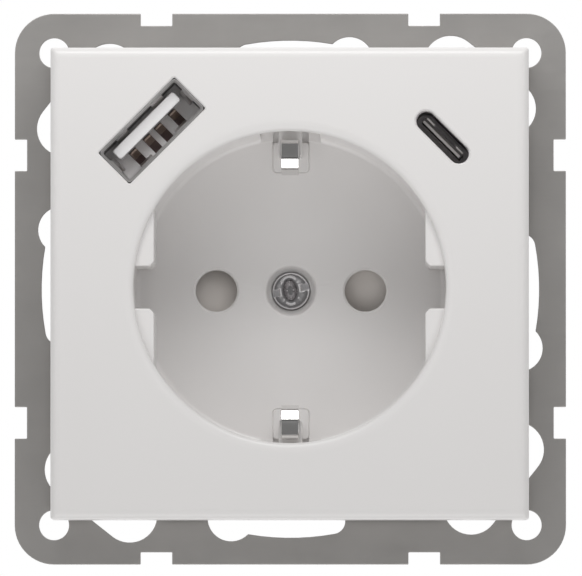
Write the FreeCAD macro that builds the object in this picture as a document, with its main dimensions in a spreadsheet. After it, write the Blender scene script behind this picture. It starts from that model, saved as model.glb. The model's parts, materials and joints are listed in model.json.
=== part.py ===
import FreeCAD, Part
import math
import os
import Sketcher

# Flush wall socket with an earthed round well and two USB charging ports.
# Frame: x to the right and z up as seen from the room, y into the wall.
# The origin is on the axis of the well, on the rear face of the support plate,
# so y = 0 is the face of the wall. All sizes are in millimetres and degrees.

SIZES = [
    # Support plate and its openings
    ("plate_band", 12.7, "plate from its round opening to the middle of a side"),
    ("plate_sheet", 1.0, "thickness of the sheet"),
    ("plate_corner", 5.0, "outer corner radius"),
    ("notch_width", 4.0, "edge notch, along the edge"),
    ("notch_depth", 1.55, "edge notch, into the plate"),
    ("notch_from_corner", 18.0, "edge notch centre from the corner of the plate"),
    ("corner_hole_radius", 1.9, "round hole near each corner"),
    ("corner_hole_inset", 5.0, "round hole from both edges: a 60 mm pitch"),
    ("box_screw_inset", 5.0, "box screws from the middle of a side: a 60 mm pitch"),
    ("key_slot_half_width", 1.6, "half the width of the curved box screw slot"),
    ("key_slot_end_turn", 10.3, "slot end, degrees past the middle of the side"),
    ("key_entry_turn", 14.5, "slot entry, degrees before the middle of the side"),
    ("key_entry_radius", 3.0, "round entry that lets the screw head through"),
    ("oblong_radius", 3.5, "half the width of the oblong slot"),
    ("oblong_near_side", 14.6, "first end of the oblong slot from the right edge"),
    ("oblong_near_top", 6.3, "first end from the upper edge"),
    ("oblong_far_side", 7.3, "second end of the oblong slot from the right edge"),
    ("oblong_far_top", 12.05, "second end from the upper edge"),
    ("plate_opening_play", 1.05, "play between the well and the plate's opening"),
    # Cover plate
    ("cover_side_inset", 4.75, "cover inside the side edges of the plate"),
    ("cover_top_inset", 5.15, "cover inside the upper and lower edges, on average"),
    ("cover_rise", 0.45, "middle of the cover above the axis of the well"),
    ("cover_front", 10.5, "front face in front of the wall"),
    ("skirt_gap", 0.8, "rim of the cover in front of the plate"),
    ("cover_wall", 2.0, "thickness of the front"),
    ("skirt_wall", 1.6, "thickness of the rim"),
    ("cover_edge", 0.9, "rounding of the front edges"),
    # Well
    ("well_radius", 19.75, "inside radius of the well"),
    ("well_depth", 17.5, "front face to the floor of the well"),
    ("well_wall", 1.5, "thickness of the well's wall"),
    ("floor_wall", 1.6, "thickness of the well's floor"),
    ("well_rim", 1.2, "rounding of the rim of the well"),
    ("rib_depth", 2.6, "ribs stand in from the wall of the well"),
    ("rib_set_back", 1.3, "rib ends behind the front face"),
    ("guide_groove", 5.7, "height of the groove between the ribs"),
    ("rib_chamfer", 0.55, "chamfer at the mouth of the groove"),
    ("earth_groove_half", 3.8, "half the width of the shallow groove over each clip"),
    ("earth_groove_depth", 0.65, "depth of that groove in the wall"),
    ("earth_groove_start", 1.6, "that groove behind the front face"),
    ("clip_slot_half", 2.2, "half the width of the clip slot in the floor"),
    ("clip_slot_room", 3.4, "clip slot in the floor inwards of the clip's arm"),
    ("pedestal_play", 0.2, "play between the base's pedestal and the clip slot"),
    ("pedestal_sink", 0.7, "pedestal behind the front of the floor"),
    ("arm_play", 0.3, "play of the clip's arm in its pedestal"),
    # Pins and shutter
    ("pin_place", 9.5, "half the 19 mm pin pitch"),
    ("pin_hole_radius", 2.65, "pin hole in the floor"),
    ("shutter_gap", 0.3, "play in front of and behind the shutter"),
    ("shutter_plate", 2.1, "thickness of the shutter"),
    ("hub_wall", 1.9, "wall of the hub round its bore"),
    ("shutter_reach", 3.4, "end of a wing beyond the middle of its pin hole"),
    ("shutter_cover", 0.55, "wing beyond the pin hole, above and below"),
    ("shutter_ramp", 1.3, "rise of the ramp on a wing"),
    ("shutter_post_radius", 0.7, "post that the spring bears on"),
    ("shutter_post_rise", 1.54, "post above the middle of the shutter"),
    ("hub_play", 0.1, "radial play of the hub on its boss"),
    ("shutter_wire", 0.25, "radius of the spring wire"),
    ("coil_room", 0.8, "middle of the spring wire outside the bore of the hub"),
    ("spring_opening", 35.0, "half the opening of the spring's turn, in degrees"),
    ("spring_room", 1.0, "room for the spring between shutter and deck"),
    # Middle screw
    ("boss_wall", 1.1, "wall of the boss behind the floor"),
    ("screw_head_radius", 2.4, "middle screw, head"),
    ("screw_head_height", 1.9, "middle screw, head"),
    ("head_side", 1.1, "middle screw, straight side of the head"),
    ("head_crown_radius", 1.3, "middle screw, flat crown of the head"),
    ("head_crown_drop", 0.15, "middle screw, edge of the crown below its middle"),
    ("screw_shank_radius", 1.5, "middle screw, shank"),
    ("screw_end", 3.65, "middle screw beyond the base"),
    ("screw_mouth_flare", 0.75, "mouth of the recess beyond the screw head"),
    ("screw_mouth_depth", 0.8, "depth of the tapered mouth"),
    ("screw_seat_depth", 2.8, "depth of the seat below the floor"),
    ("screw_play", 0.1, "radial play round the middle screw"),
    ("thread_play", 0.04, "radial play of the screw in the earth strap"),
    ("drive_width", 0.75, "width of the slot and the cross in the head"),
    ("drive_depth", 0.8, "depth of the slot in the head"),
    ("cross_depth", 1.1, "depth of the cross in the head"),
    ("drive_cross", 3.0, "length of the short bar of the cross"),
    ("drive_turn", 9.0, "the slot as it was left, degrees from level"),
    # USB ports
    ("usb_a_distance", 5.09, "middle of the A port outside the wall of the well"),
    ("usb_a_bearing", 131.4, "A port from the right round the axis, in degrees"),
    ("usb_c_distance", 5.81, "middle of the C port outside the wall of the well"),
    ("usb_c_bearing", 44.36, "C port from the right round the axis, in degrees"),
    ("usb_turn", 45.0, "turn of both ports"),
    ("usb_a_width", 13.5, "A shell, long side"),
    ("usb_a_height", 5.5, "A shell, short side"),
    ("usb_sheet", 0.35, "sheet of both shells"),
    ("usb_a_set_back", 0.15, "A shell behind the front face"),
    ("usb_window_play", 0.12, "play between the A shell and its window"),
    ("usb_tongue_side", 1.35, "A tongue inside each end of the shell"),
    ("usb_tongue_height", 1.5, "A tongue, short side"),
    ("usb_tongue_gap", 0.65, "A tongue from the upper side of the shell"),
    ("usb_tongue_back", 1.3, "A tongue behind the mouth of the shell"),
    ("usb_foot", 1.2, "foot of the A tongue, which closes the back of the shell"),
    ("usb_foot_play", 0.1, "play round that foot"),
    ("usb_contact_width", 1.0, "A contacts, across"),
    ("usb_contact_sheet", 0.25, "A contacts, sheet"),
    ("usb_contact_inner", 1.0, "A contacts, inner pair from the middle"),
    ("usb_contact_outer", 3.5, "A contacts, outer pair from the middle"),
    ("usb_contact_tip", 0.2, "A contacts, tip below the tongue"),
    ("usb_contact_dip", 1.0, "A contacts, crest below the tongue"),
    ("usb_contact_run", 1.6, "A contacts, tip to crest"),
    ("usb_contact_bend", 0.6, "A contacts, radius of the bends"),
    ("usb_c_width", 8.94, "C shell, long side"),
    ("usb_c_height", 3.16, "C shell, short side"),
    ("usb_c_lip", 0.25, "window edge over the edge of the C shell"),
    ("usb_c_tongue_side", 1.12, "C tongue inside each end of the shell"),
    ("usb_c_tongue_height", 0.7, "C tongue, short side"),
    ("usb_c_tongue_back", 1.0, "C tongue behind the mouth of the shell"),
    # Carrier ring and its board
    ("carrier_depth", 4.5, "depth of the carrier ring"),
    ("board_front", 1.2, "front face of the port board behind the wall face"),
    ("board_sheet", 1.6, "thickness of both circuit boards"),
    ("board_inner_rim", 0.9, "carrier inside the port board"),
    ("board_outer_rim", 1.0, "carrier outside the port board"),
    ("board_start", 28.0, "port board, right end in degrees"),
    ("board_end", 152.0, "port board, left end in degrees"),
    ("board_play", 0.15, "play round the port board"),
    ("board_end_play", 1.0, "play at each end of the port board, in degrees"),
    ("lobe_edge", 0.55, "lobe of the board beyond the long side of a port"),
    ("lobe_end", 0.65, "lobe of the board beyond the end of a port"),
    ("lobe_wall", 0.9, "carrier wall round the lobes"),
    ("window_play", 0.7, "plate window round a port"),
    # Socket base
    ("carrier_band", 5.7, "width of the carrier ring round the well"),
    ("base_wall", 1.5, "wall of the base"),
    ("deck_wall", 2.0, "thickness of the deck that carries the contacts"),
    ("fixing_inset", 2.6, "plate screws outside the plate's opening"),
    ("fixing_turn", 8.0, "turn of the plate screws in degrees"),
    ("fixing_shank", 1.3, "plate screw shank radius"),
    ("fixing_head", 2.3, "plate screw head radius"),
    ("fixing_head_height", 1.4, "plate screw head height"),
    ("fixing_grip", 2.95, "plate screw in its boss of the base"),
    ("fixing_play", 0.15, "radial play round plate and housing screws"),
    ("fixing_bite", 0.04, "radial play of a screw in its boss"),
    ("fixing_boss", 2.4, "boss radius round plate and housing screws"),
    ("deck_hole_play", 0.1, "pin hole in the deck wider than in the floor"),
    # Earth strap
    ("strap_sheet", 1.0, "sheet of the earth strap"),
    ("strap_width", 7.0, "width of the strap behind the floor"),
    ("clip_width", 2.2, "width of each clip"),
    ("clip_sheet", 0.7, "sheet of the clips, thinned by forming"),
    ("clip_arm_inset", 1.45, "middle of the arm inside the wall of the well"),
    ("clip_brow_in", 3.2, "brow between crest and nose, inwards of the arm"),
    ("clip_brow_depth", 4.8, "brow behind the front face"),
    ("clip_nose_in", 3.75, "middle of the nose inwards of the arm"),
    ("clip_set_back", 4.1, "crest of the clip behind the front face"),
    ("clip_crest_run", 0.8, "crest in front of the end of the arm"),
    ("clip_shoulder_in", 1.9, "crest of the clip inwards of the arm"),
    ("clip_nose_depth", 9.1, "nose of the clip behind the front face"),
    ("clip_tail_depth", 13.1, "end of the clip behind the front face"),
    ("clip_tail_in", 2.0, "end of the clip inwards of the arm"),
    ("strap_bend", 0.8, "middle radius of the bends"),
    ("strap_play", 0.2, "play round the strap in deck and floor"),
    # Line contacts
    ("contact_radius", 2.35, "inside radius of a contact sleeve"),
    ("contact_sheet", 0.8, "sheet of contacts and bars"),
    ("contact_gap", 0.3, "contact sleeve behind the base"),
    ("contact_length", 10.0, "length of a contact sleeve"),
    ("contact_split", 1.6, "split of a contact sleeve"),
    # Terminals
    ("terminal_side", 4.0, "outer terminals beyond the pin holes"),
    ("terminal_room", 14.5, "outer terminals above the bore of the housing"),
    ("earth_terminal_room", 10.5, "earth terminal above the bore of the housing"),
    ("bar_width", 7.0, "width of a terminal bar"),
    ("bar_rise", 2.1, "lower face of a bar above the terminal's middle"),
    ("bar_set_back", 5.7, "front end of a bar behind that of its sleeve"),
    ("bar_length", 11.0, "length of a bar"),
    ("bar_end_room", 1.0, "room between bar and housing"),
    ("wire_hole_radius", 1.45, "wire entry"),
    ("wire_hole_place", 2.0, "wire entries to each side of the terminal"),
    ("spring_sheet", 0.4, "sheet of a clamp spring"),
    ("spring_width", 5.6, "width of a clamp spring"),
    ("spring_bend", 0.8, "middle radius of its bends"),
    ("spring_front", 0.6, "clamp spring behind the front end of the bar"),
    ("spring_foot", 1.0, "foot of a clamp spring beyond the front of the button"),
    ("spring_knee", 1.6, "knee of a clamp spring below the button's upper side"),
    ("spring_lip", 1.9, "lip of a clamp spring above the button's upper side"),
    ("button_width", 4.4, "release button across"),
    ("button_height", 2.2, "release button height"),
    ("button_drop", 2.6, "release button below the terminal's middle"),
    ("button_inside", 5.0, "release button inside the housing"),
    ("button_proud", 1.2, "release button beyond the housing"),
    ("button_collar", 0.7, "collar that keeps the button in"),
    ("button_play", 0.15, "play round a release button"),
    ("button_slot", 0.8, "screwdriver slot in a button"),
    # Rear housing and power supply
    ("housing_step", 1.0, "drum of the housing inside the edge of the base"),
    ("housing_flange", 1.4, "flange of the housing against the base"),
    ("wire_mouth", 0.5, "chamfer at the mouth of a wire entry"),
    ("housing_wall", 1.5, "wall of the rear housing"),
    ("housing_edge", 1.2, "rounding of the rear edge"),
    ("pillar_inset", 2.8, "housing screws inside the bore of the housing"),
    ("pillar_shift", 0.5, "left housing screw above and right one below the axis"),
    ("power_gap", 1.6, "power board behind the base"),
    ("power_play", 0.3, "play round the power board"),
    ("power_low", 4.6, "straight lower edge of the power board"),
    ("pin_radius", 0.35, "link pin radius"),
    ("pin_pitch", 2.0, "link pin pitch"),
    ("pin_first", 0.8, "first link pin to the right of the axis"),
    ("link_inset", 1.9, "link pins outside the plate's opening"),
    ("pin_play", 0.05, "radial play of a link pin in its holes"),
    ("core_x", -6.5, "transformer, middle across"),
    ("core_z", 13.0, "transformer, middle height"),
    ("core_width", 13.0, "transformer core across"),
    ("core_depth", 10.0, "transformer core depth"),
    ("core_height", 5.0, "transformer core height"),
    ("core_leg", 3.5, "width of the middle leg"),
    ("core_yoke", 1.75, "thickness of the yokes and the outer legs"),
    ("coil_height", 10.4, "height of the winding"),
    ("coil_play", 0.1, "play between winding and core"),
    ("can_x", 10.2, "capacitor, middle across"),
    ("can_z", 13.4, "capacitor, middle height"),
    ("can_radius", 4.0, "capacitor radius"),
    ("can_room", 2.25, "room between capacitor and housing"),
    ("can_rim", 0.6, "rounding of the capacitor's rim"),
    ("fuse_radius", 1.7, "fuse radius"),
    ("fuse_length", 7.5, "fuse length"),
    ("fuse_x", 13.4, "fuse, middle across"),
    ("fuse_z", 6.8, "fuse, middle height"),
    ("seat_gap", 0.05, "gap between parts that stand on each other"),
    ("cut_room", 1.0, "how far a cut starts outside its piece"),
]

document = FreeCAD.newDocument("usb_wall_socket")
sheet = document.addObject("Spreadsheet::Sheet", "Sizes")


class Size:
    """A number together with the sheet expression that gives it."""

    def __init__(self, value, text):
        self.value = value
        self.text = text

    def __float__(self):
        return float(self.value)

    def __neg__(self):
        return Size(-self.value, f"(-1 * {self.text})")

    def __add__(self, other):
        return Size(self.value + float(other), f"({self.text} + {text_of(other)})")

    def __radd__(self, other):
        return self + other

    def __sub__(self, other):
        return Size(self.value - float(other), f"({self.text} - {text_of(other)})")

    def __rsub__(self, other):
        return Size(float(other) - self.value, f"({text_of(other)} - {self.text})")

    def __mul__(self, other):
        return Size(self.value * float(other), f"({self.text} * {text_of(other)})")

    def __rmul__(self, other):
        return self * other

    def __truediv__(self, other):
        return Size(self.value / float(other), f"({self.text} / {text_of(other)})")


def text_of(value):
    return value.text if isinstance(value, Size) else repr(float(value))


def cosine(angle):
    return Size(math.cos(math.radians(float(angle))), f"cos({text_of(angle)})")


def sine(angle):
    return Size(math.sin(math.radians(float(angle))), f"sin({text_of(angle)})")


def root(value):
    return Size(math.sqrt(float(value)), f"sqrt({text_of(value)})")


class Sizes:
    """The driving dimensions, each one named value of the sheet."""


sizes = Sizes()
for row, (alias, number, note) in enumerate(SIZES, start=1):
    sheet.set(f"A{row}", note)
    sheet.set(f"B{row}", str(number))
    sheet.setAlias(f"B{row}", alias)
    setattr(sizes, alias, Size(number, f"Sizes.{alias}"))
document.recompute()
s = sizes

# Radii from the well outwards, all worked out from the sheet
WELL_OUTSIDE = s.well_radius + s.well_wall
PLATE_OPENING = WELL_OUTSIDE + s.plate_opening_play
PLATE_HALF = PLATE_OPENING + s.plate_band
BOX_SCREW_CIRCLE = PLATE_HALF - s.box_screw_inset
COVER_WIDTH = 2 * (PLATE_HALF - s.cover_side_inset)
COVER_HEIGHT = 2 * (PLATE_HALF - s.cover_top_inset)
FIXING_CIRCLE = PLATE_OPENING + s.fixing_inset
BASE_RADIUS = PLATE_OPENING + s.carrier_band
BOARD_INNER = PLATE_OPENING + s.board_inner_rim
BOARD_OUTER = BASE_RADIUS - s.board_outer_rim
LINK_HEIGHT = PLATE_OPENING + s.link_inset
HOUSING_RADIUS = BASE_RADIUS - s.housing_step
HOUSING_BORE = HOUSING_RADIUS - s.housing_wall
PILLAR_PLACE = HOUSING_BORE - s.pillar_inset
POWER_RADIUS = HOUSING_BORE - s.power_play
CLIP_ARM = s.well_radius - s.clip_arm_inset
TERMINAL_X = s.pin_place + s.terminal_side
TERMINAL_Z = s.terminal_room - HOUSING_BORE
EARTH_TERMINAL_Z = s.earth_terminal_room - HOUSING_BORE

# Radii round the middle screw
BOSS_RADIUS = s.screw_head_radius + s.screw_play + s.boss_wall
HUB_BORE = BOSS_RADIUS + s.hub_play
HUB_RADIUS = HUB_BORE + s.hub_wall

# Depths from the front face backwards
FRONT = -s.cover_front
SKIRT = s.cover_front - s.plate_sheet - s.skirt_gap
FLOOR = FRONT + s.well_depth
FLOOR_BACK = FLOOR + s.floor_wall
SHUTTER_FRONT = FLOOR_BACK + s.shutter_gap
SHUTTER_BACK = SHUTTER_FRONT + s.shutter_plate
DECK = SHUTTER_BACK + s.spring_room
BASE_BACK = DECK + s.deck_wall
HOUSING_FRONT = BASE_BACK + s.seat_gap
CONTACT_FRONT = BASE_BACK + s.contact_gap
BAR_FRONT = CONTACT_FRONT + s.bar_set_back
BAR_BACK = BAR_FRONT + s.bar_length
HOUSING_INSIDE = BAR_BACK + s.bar_end_room
HOUSING_BACK = HOUSING_INSIDE + s.housing_wall
BUTTON_FRONT = HOUSING_INSIDE - s.button_inside
BOARD_BACK = s.board_front + s.board_sheet
POWER_FRONT = BASE_BACK + s.power_gap
POWER_BACK = POWER_FRONT + s.board_sheet
# What repeats, and the margin within which two places count as one
pieces = []
TOUCH = 1e-4
CORNER_SIGNS = [(1, 1), (-1, 1), (-1, -1), (1, -1)]
QUARTER_TURNS = [0, 90, 180, 270]


def bind(target, path, value):
    target.setExpression(path, text_of(value))


def polar(radius, angle):
    return radius * cosine(angle), radius * sine(angle)


FIXING_PLACES = [polar(FIXING_CIRCLE, s.fixing_turn + quarter) for quarter in QUARTER_TURNS]
PILLAR_PLACES = [(PILLAR_PLACE, -s.pillar_shift), (-PILLAR_PLACE, s.pillar_shift)]


def origin_plane(body, role):
    for feature in body.Origin.OriginFeatures:
        if feature.Role == role:
            return feature
    raise RuntimeError(f"{body.Label} has no {role}")


class Outline:
    """A sketch on one of a body's own planes, dimensioned from the sheet."""

    def __init__(self, sketch):
        self.sketch = sketch

    def hold(self, kind, *where):
        """Adds a dimension and binds it: the last value is a Size or a number."""
        value = where[-1]
        index = self.sketch.addConstraint(
            Sketcher.Constraint(kind, *where[:-1], float(value))
        )
        if isinstance(value, Size):
            self.sketch.setExpression(f"Constraints[{index}]", value.text)

    def hold_point(self, geometry, end, x, y):
        self.hold("DistanceX", geometry, end, x)
        self.hold("DistanceY", geometry, end, y)

    def circle(self, x, y, radius):
        centre = FreeCAD.Vector(float(x), float(y), 0)
        drawn = Part.Circle(centre, FreeCAD.Vector(0, 0, 1), float(radius))
        geometry = self.sketch.addGeometry(drawn)
        self.hold("Radius", geometry, radius)
        self.hold_point(geometry, 3, x, y)

    def polygon(self, corners):
        """A closed outline of straight lines through (x, y) corners."""
        points = [FreeCAD.Vector(float(x), float(y), 0) for x, y in corners]
        first = None
        count = len(points)
        for i in range(count):
            line = Part.LineSegment(points[i], points[(i + 1) % count])
            geometry = self.sketch.addGeometry(line)
            first = geometry if first is None else first
            self.hold_point(geometry, 1, *corners[i])
        for i in range(count):
            following = first + (i + 1) % count
            self.sketch.addConstraint(
                Sketcher.Constraint("Coincident", first + i, 2, following, 1)
            )

    def rectangle(self, x, y, width, height):
        left, right = x - width / 2, x + width / 2
        low, high = y - height / 2, y + height / 2
        self.polygon([(left, low), (right, low), (right, high), (left, high)])

    def arc(self, x, y, radius, start, end):
        """An arc that runs anticlockwise from start to end, in degrees."""
        centre = FreeCAD.Vector(float(x), float(y), 0)
        ring = Part.Circle(centre, FreeCAD.Vector(0, 0, 1), float(radius))
        drawn = Part.ArcOfCircle(
            ring, math.radians(float(start)), math.radians(float(end))
        )
        geometry = self.sketch.addGeometry(drawn)
        self.hold_point(geometry, 3, x, y)
        self.hold("Radius", geometry, radius)
        return geometry

    def line(self, start, end):
        a = FreeCAD.Vector(float(start[0]), float(start[1]), 0)
        b = FreeCAD.Vector(float(end[0]), float(end[1]), 0)
        return self.sketch.addGeometry(Part.LineSegment(a, b))

    def join(self, first, first_end, second, second_end):
        self.sketch.addConstraint(
            Sketcher.Constraint("Coincident", first, first_end, second, second_end)
        )

    def slot(self, start, end, radius):
        """A straight slot with round ends, from centre to centre."""
        ax, ay = float(start[0]), float(start[1])
        bx, by = float(end[0]), float(end[1])
        turn = math.degrees(math.atan2(by - ay, bx - ax))
        cap_b = self.arc(end[0], end[1], radius, turn - 90, turn + 90)
        cap_a = self.arc(start[0], start[1], radius, turn + 90, turn + 270)
        upper = self.line(
            self.edge_point(end, radius, turn + 90),
            self.edge_point(start, radius, turn + 90),
        )
        lower = self.line(
            self.edge_point(start, radius, turn - 90),
            self.edge_point(end, radius, turn - 90),
        )
        self.join(cap_b, 2, upper, 1)
        self.join(upper, 2, cap_a, 1)
        self.join(cap_a, 2, lower, 1)
        self.join(lower, 2, cap_b, 1)

    @staticmethod
    def edge_point(centre, radius, turn):
        angle = math.radians(turn)
        x = float(centre[0]) + float(radius) * math.cos(angle)
        y = float(centre[1]) + float(radius) * math.sin(angle)
        return x, y

    def curved_slot(self, circle_radius, half_width, start, end):
        """A slot along a circle about the origin, with round ends."""
        self.arc(0, 0, circle_radius + half_width, start, end)
        self.arc(0, 0, circle_radius - half_width, start, end)
        cap = polar(circle_radius, end)
        self.arc(*cap, half_width, float(end), float(end) + 180)
        cap = polar(circle_radius, start)
        self.arc(*cap, half_width, float(start) + 180, float(start) + 360)

    def ring_sector(self, inner_radius, outer_radius, start, end):
        """Part of a ring about the origin, with straight ends."""
        outer = self.arc(0, 0, outer_radius, start, end)
        inner = self.arc(0, 0, inner_radius, start, end)
        points = [polar(r, a) for r, a in [
            (inner_radius, start),
            (outer_radius, start),
            (outer_radius, end),
            (inner_radius, end),
        ]]
        low = self.line(points[0], points[1])
        high = self.line(points[2], points[3])
        self.join(low, 2, outer, 1)
        self.join(outer, 2, high, 1)
        self.join(high, 2, inner, 2)
        self.join(inner, 1, low, 1)

    def ribbon(self, points, thickness, bend):
        """The edge view of a bent strip, from its middle line and bend radius."""
        half = float(thickness) / 2
        stops = [FreeCAD.Vector(float(x), float(y), 0) for x, y in points]
        sides = {1: [], -1: []}
        for side, pieces in sides.items():
            pieces.extend(strip_side(stops, side * half, float(bend)))
        outline = sides[1] + sides[-1]
        outline.append(Part.LineSegment(sides[1][0].StartPoint, sides[-1][0].StartPoint))
        outline.append(Part.LineSegment(sides[1][-1].EndPoint, sides[-1][-1].EndPoint))
        for piece in outline:
            geometry = self.sketch.addGeometry(piece)
            self.sketch.addConstraint(Sketcher.Constraint("Block", geometry))


def strip_side(stops, offset, bend):
    """Lines and arcs at a distance from a middle line with rounded corners."""
    pieces = []
    directions = []
    for a, b in zip(stops, stops[1:]):
        way = b.sub(a)
        way.normalize()
        directions.append(way)
    across = [FreeCAD.Vector(-d.y, d.x, 0) for d in directions]
    start = stops[0].add(across[0] * offset)
    for i in range(1, len(stops) - 1):
        turn = directions[i - 1].cross(directions[i]).z
        corner = math.acos(max(-1, min(1, directions[i - 1].dot(directions[i]))))
        back = bend * math.tan(corner / 2)
        side = 1 if turn > 0 else -1
        entry = stops[i].sub(directions[i - 1] * back)
        leave = stops[i].add(directions[i] * back)
        centre = entry.add(across[i - 1] * (side * bend))
        stop = entry.add(across[i - 1] * offset)
        restart = leave.add(across[i] * offset)
        middle_way = directions[i - 1].sub(directions[i])
        middle_way.normalize()
        middle = centre.add(middle_way * (bend - side * offset))
        pieces.append(Part.LineSegment(start, stop))
        pieces.append(Part.Arc(stop, middle, restart))
        start = restart
    pieces.append(Part.LineSegment(start, stops[-1].add(across[-1] * offset)))
    return [
        piece if isinstance(piece, Part.LineSegment) else arc_of(piece)
        for piece in pieces
    ]


def arc_of(piece):
    """A sketch arc, which always runs anticlockwise, from three points."""
    shape = piece.toShape()
    curve = shape.Curve
    normal = FreeCAD.Vector(0, 0, 1)
    ring = Part.Circle(curve.Center, normal, curve.Radius)
    ends = [shape.Vertexes[0].Point, shape.Vertexes[-1].Point]
    angles = [math.atan2(p.y - curve.Center.y, p.x - curve.Center.x) for p in ends]
    middle = shape.valueAt((shape.FirstParameter + shape.LastParameter) / 2)
    at = math.atan2(middle.y - curve.Center.y, middle.x - curve.Center.x)
    start, end = angles
    if (at - start) % (2 * math.pi) > (end - start) % (2 * math.pi):
        start, end = end, start
    return Part.ArcOfCircle(ring, start, end)


class Piece:
    """One sub-part: a body built up from sketches and features."""

    def __init__(self, name):
        self.body = document.addObject("PartDesign::Body", name)
        self.body.Label = name
        pieces.append(self.body)

    def outline(self, plane, offset, at=(0, 0), turn=None):
        """A sketch on a plane through the origin, moved along the plane's normal."""
        sketch = self.body.newObject("Sketcher::SketchObject", "Outline")
        sketch.AttachmentSupport = [(origin_plane(self.body, plane), "")]
        sketch.MapMode = "FlatFace"
        bind(sketch, ".AttachmentOffset.Base.x", at[0])
        bind(sketch, ".AttachmentOffset.Base.y", at[1])
        bind(sketch, ".AttachmentOffset.Base.z", offset)
        if turn is not None:
            bind(sketch, ".AttachmentOffset.Rotation.Angle", turn)
        return Outline(sketch)

    def facing(self, depth, at=(0, 0), turn=None):
        """A sketch parallel to the wall, at a depth, seen from the room."""
        return self.outline("XZ_Plane", -depth, at, turn)

    def section(self):
        """A sketch of radius against depth, to be turned about the axis."""
        return self.outline("XY_Plane", 0)

    def side_view(self, x):
        """A sketch of depth against height, at a distance to the right."""
        return self.outline("YZ_Plane", x)

    def feature(self, kind, outline):
        made = self.body.newObject(f"PartDesign::{kind}", kind)
        made.Profile = outline.sketch
        outline.sketch.Visibility = False
        return made

    def pad(self, outline, length, reverse=True):
        made = self.feature("Pad", outline)
        bind(made, "Length", length)
        made.Reversed = reverse
        document.recompute()

    def pocket(self, outline, length, reverse=False):
        before = self.body.Shape.Volume
        made = self.feature("Pocket", outline)
        bind(made, "Length", length)
        made.Reversed = reverse
        document.recompute()
        self.check_cut(before)

    def revolve(self, outline):
        made = self.feature("Revolution", outline)
        made.ReferenceAxis = (outline.sketch, ["V_Axis"])
        document.recompute()

    def groove(self, outline):
        before = self.body.Shape.Volume
        made = self.feature("Groove", outline)
        made.ReferenceAxis = (outline.sketch, ["V_Axis"])
        document.recompute()
        self.check_cut(before)

    def check_cut(self, before):
        if not self.body.Shape.Volume < before - 1e-6:
            raise RuntimeError(f"a cut in {self.body.Label} removes nothing")

    def round_edges(self, radius, chosen, kind="Fillet"):
        """Rounds or chamfers the edges for which chosen(edge) is true."""
        tip = self.body.Tip
        names = [
            f"Edge{i}" for i, edge in enumerate(tip.Shape.Edges, 1) if chosen(edge)
        ]
        made = self.body.newObject(f"PartDesign::{kind}", kind)
        made.Base = (tip, names)
        bind(made, "Radius" if kind == "Fillet" else "Size", radius)
        document.recompute()


def flat_at(depth):
    """Picks edges that lie wholly at one depth."""
    def chosen(edge):
        box = edge.BoundBox
        return abs(box.YMin - float(depth)) < TOUCH and abs(box.YMax - float(depth)) < TOUCH
    return chosen


def set_at_port(target, port):
    """Moves a finished object to a port and turns it in the plane of the wall."""
    x, z, turn = port
    out_of_wall = FreeCAD.Vector(0, -1, 0)
    target.Placement.Rotation = FreeCAD.Rotation(out_of_wall, float(turn))
    bind(target, ".Placement.Base.x", x)
    bind(target, ".Placement.Base.z", z)


def group_of(name, members):
    group = document.addObject("Part::Compound", name)
    group.Label = name
    group.Links = members
    pieces.append(group)
    return group


def port_outline(piece, depth, port):
    """A sketch centred on a port and turned with it."""
    x, z, turn = port
    return piece.facing(depth, (x, z), turn)


PORT_A = (*polar(WELL_OUTSIDE + s.usb_a_distance, s.usb_a_bearing), s.usb_turn)
PORT_C = (*polar(WELL_OUTSIDE + s.usb_c_distance, s.usb_c_bearing), -s.usb_turn)
LOBE_HALF = s.usb_a_height / 2 + s.lobe_edge
LOBES = [
    (PORT_A, s.usb_a_width / 2 + s.lobe_end),
    (PORT_C, s.usb_c_width / 2 + s.lobe_end),
]


def pill(outline, width, height):
    """A flat slot with round ends, centred on the sketch."""
    reach = (width - height) / 2
    outline.slot((-reach, 0), (reach, 0), height / 2)


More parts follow.
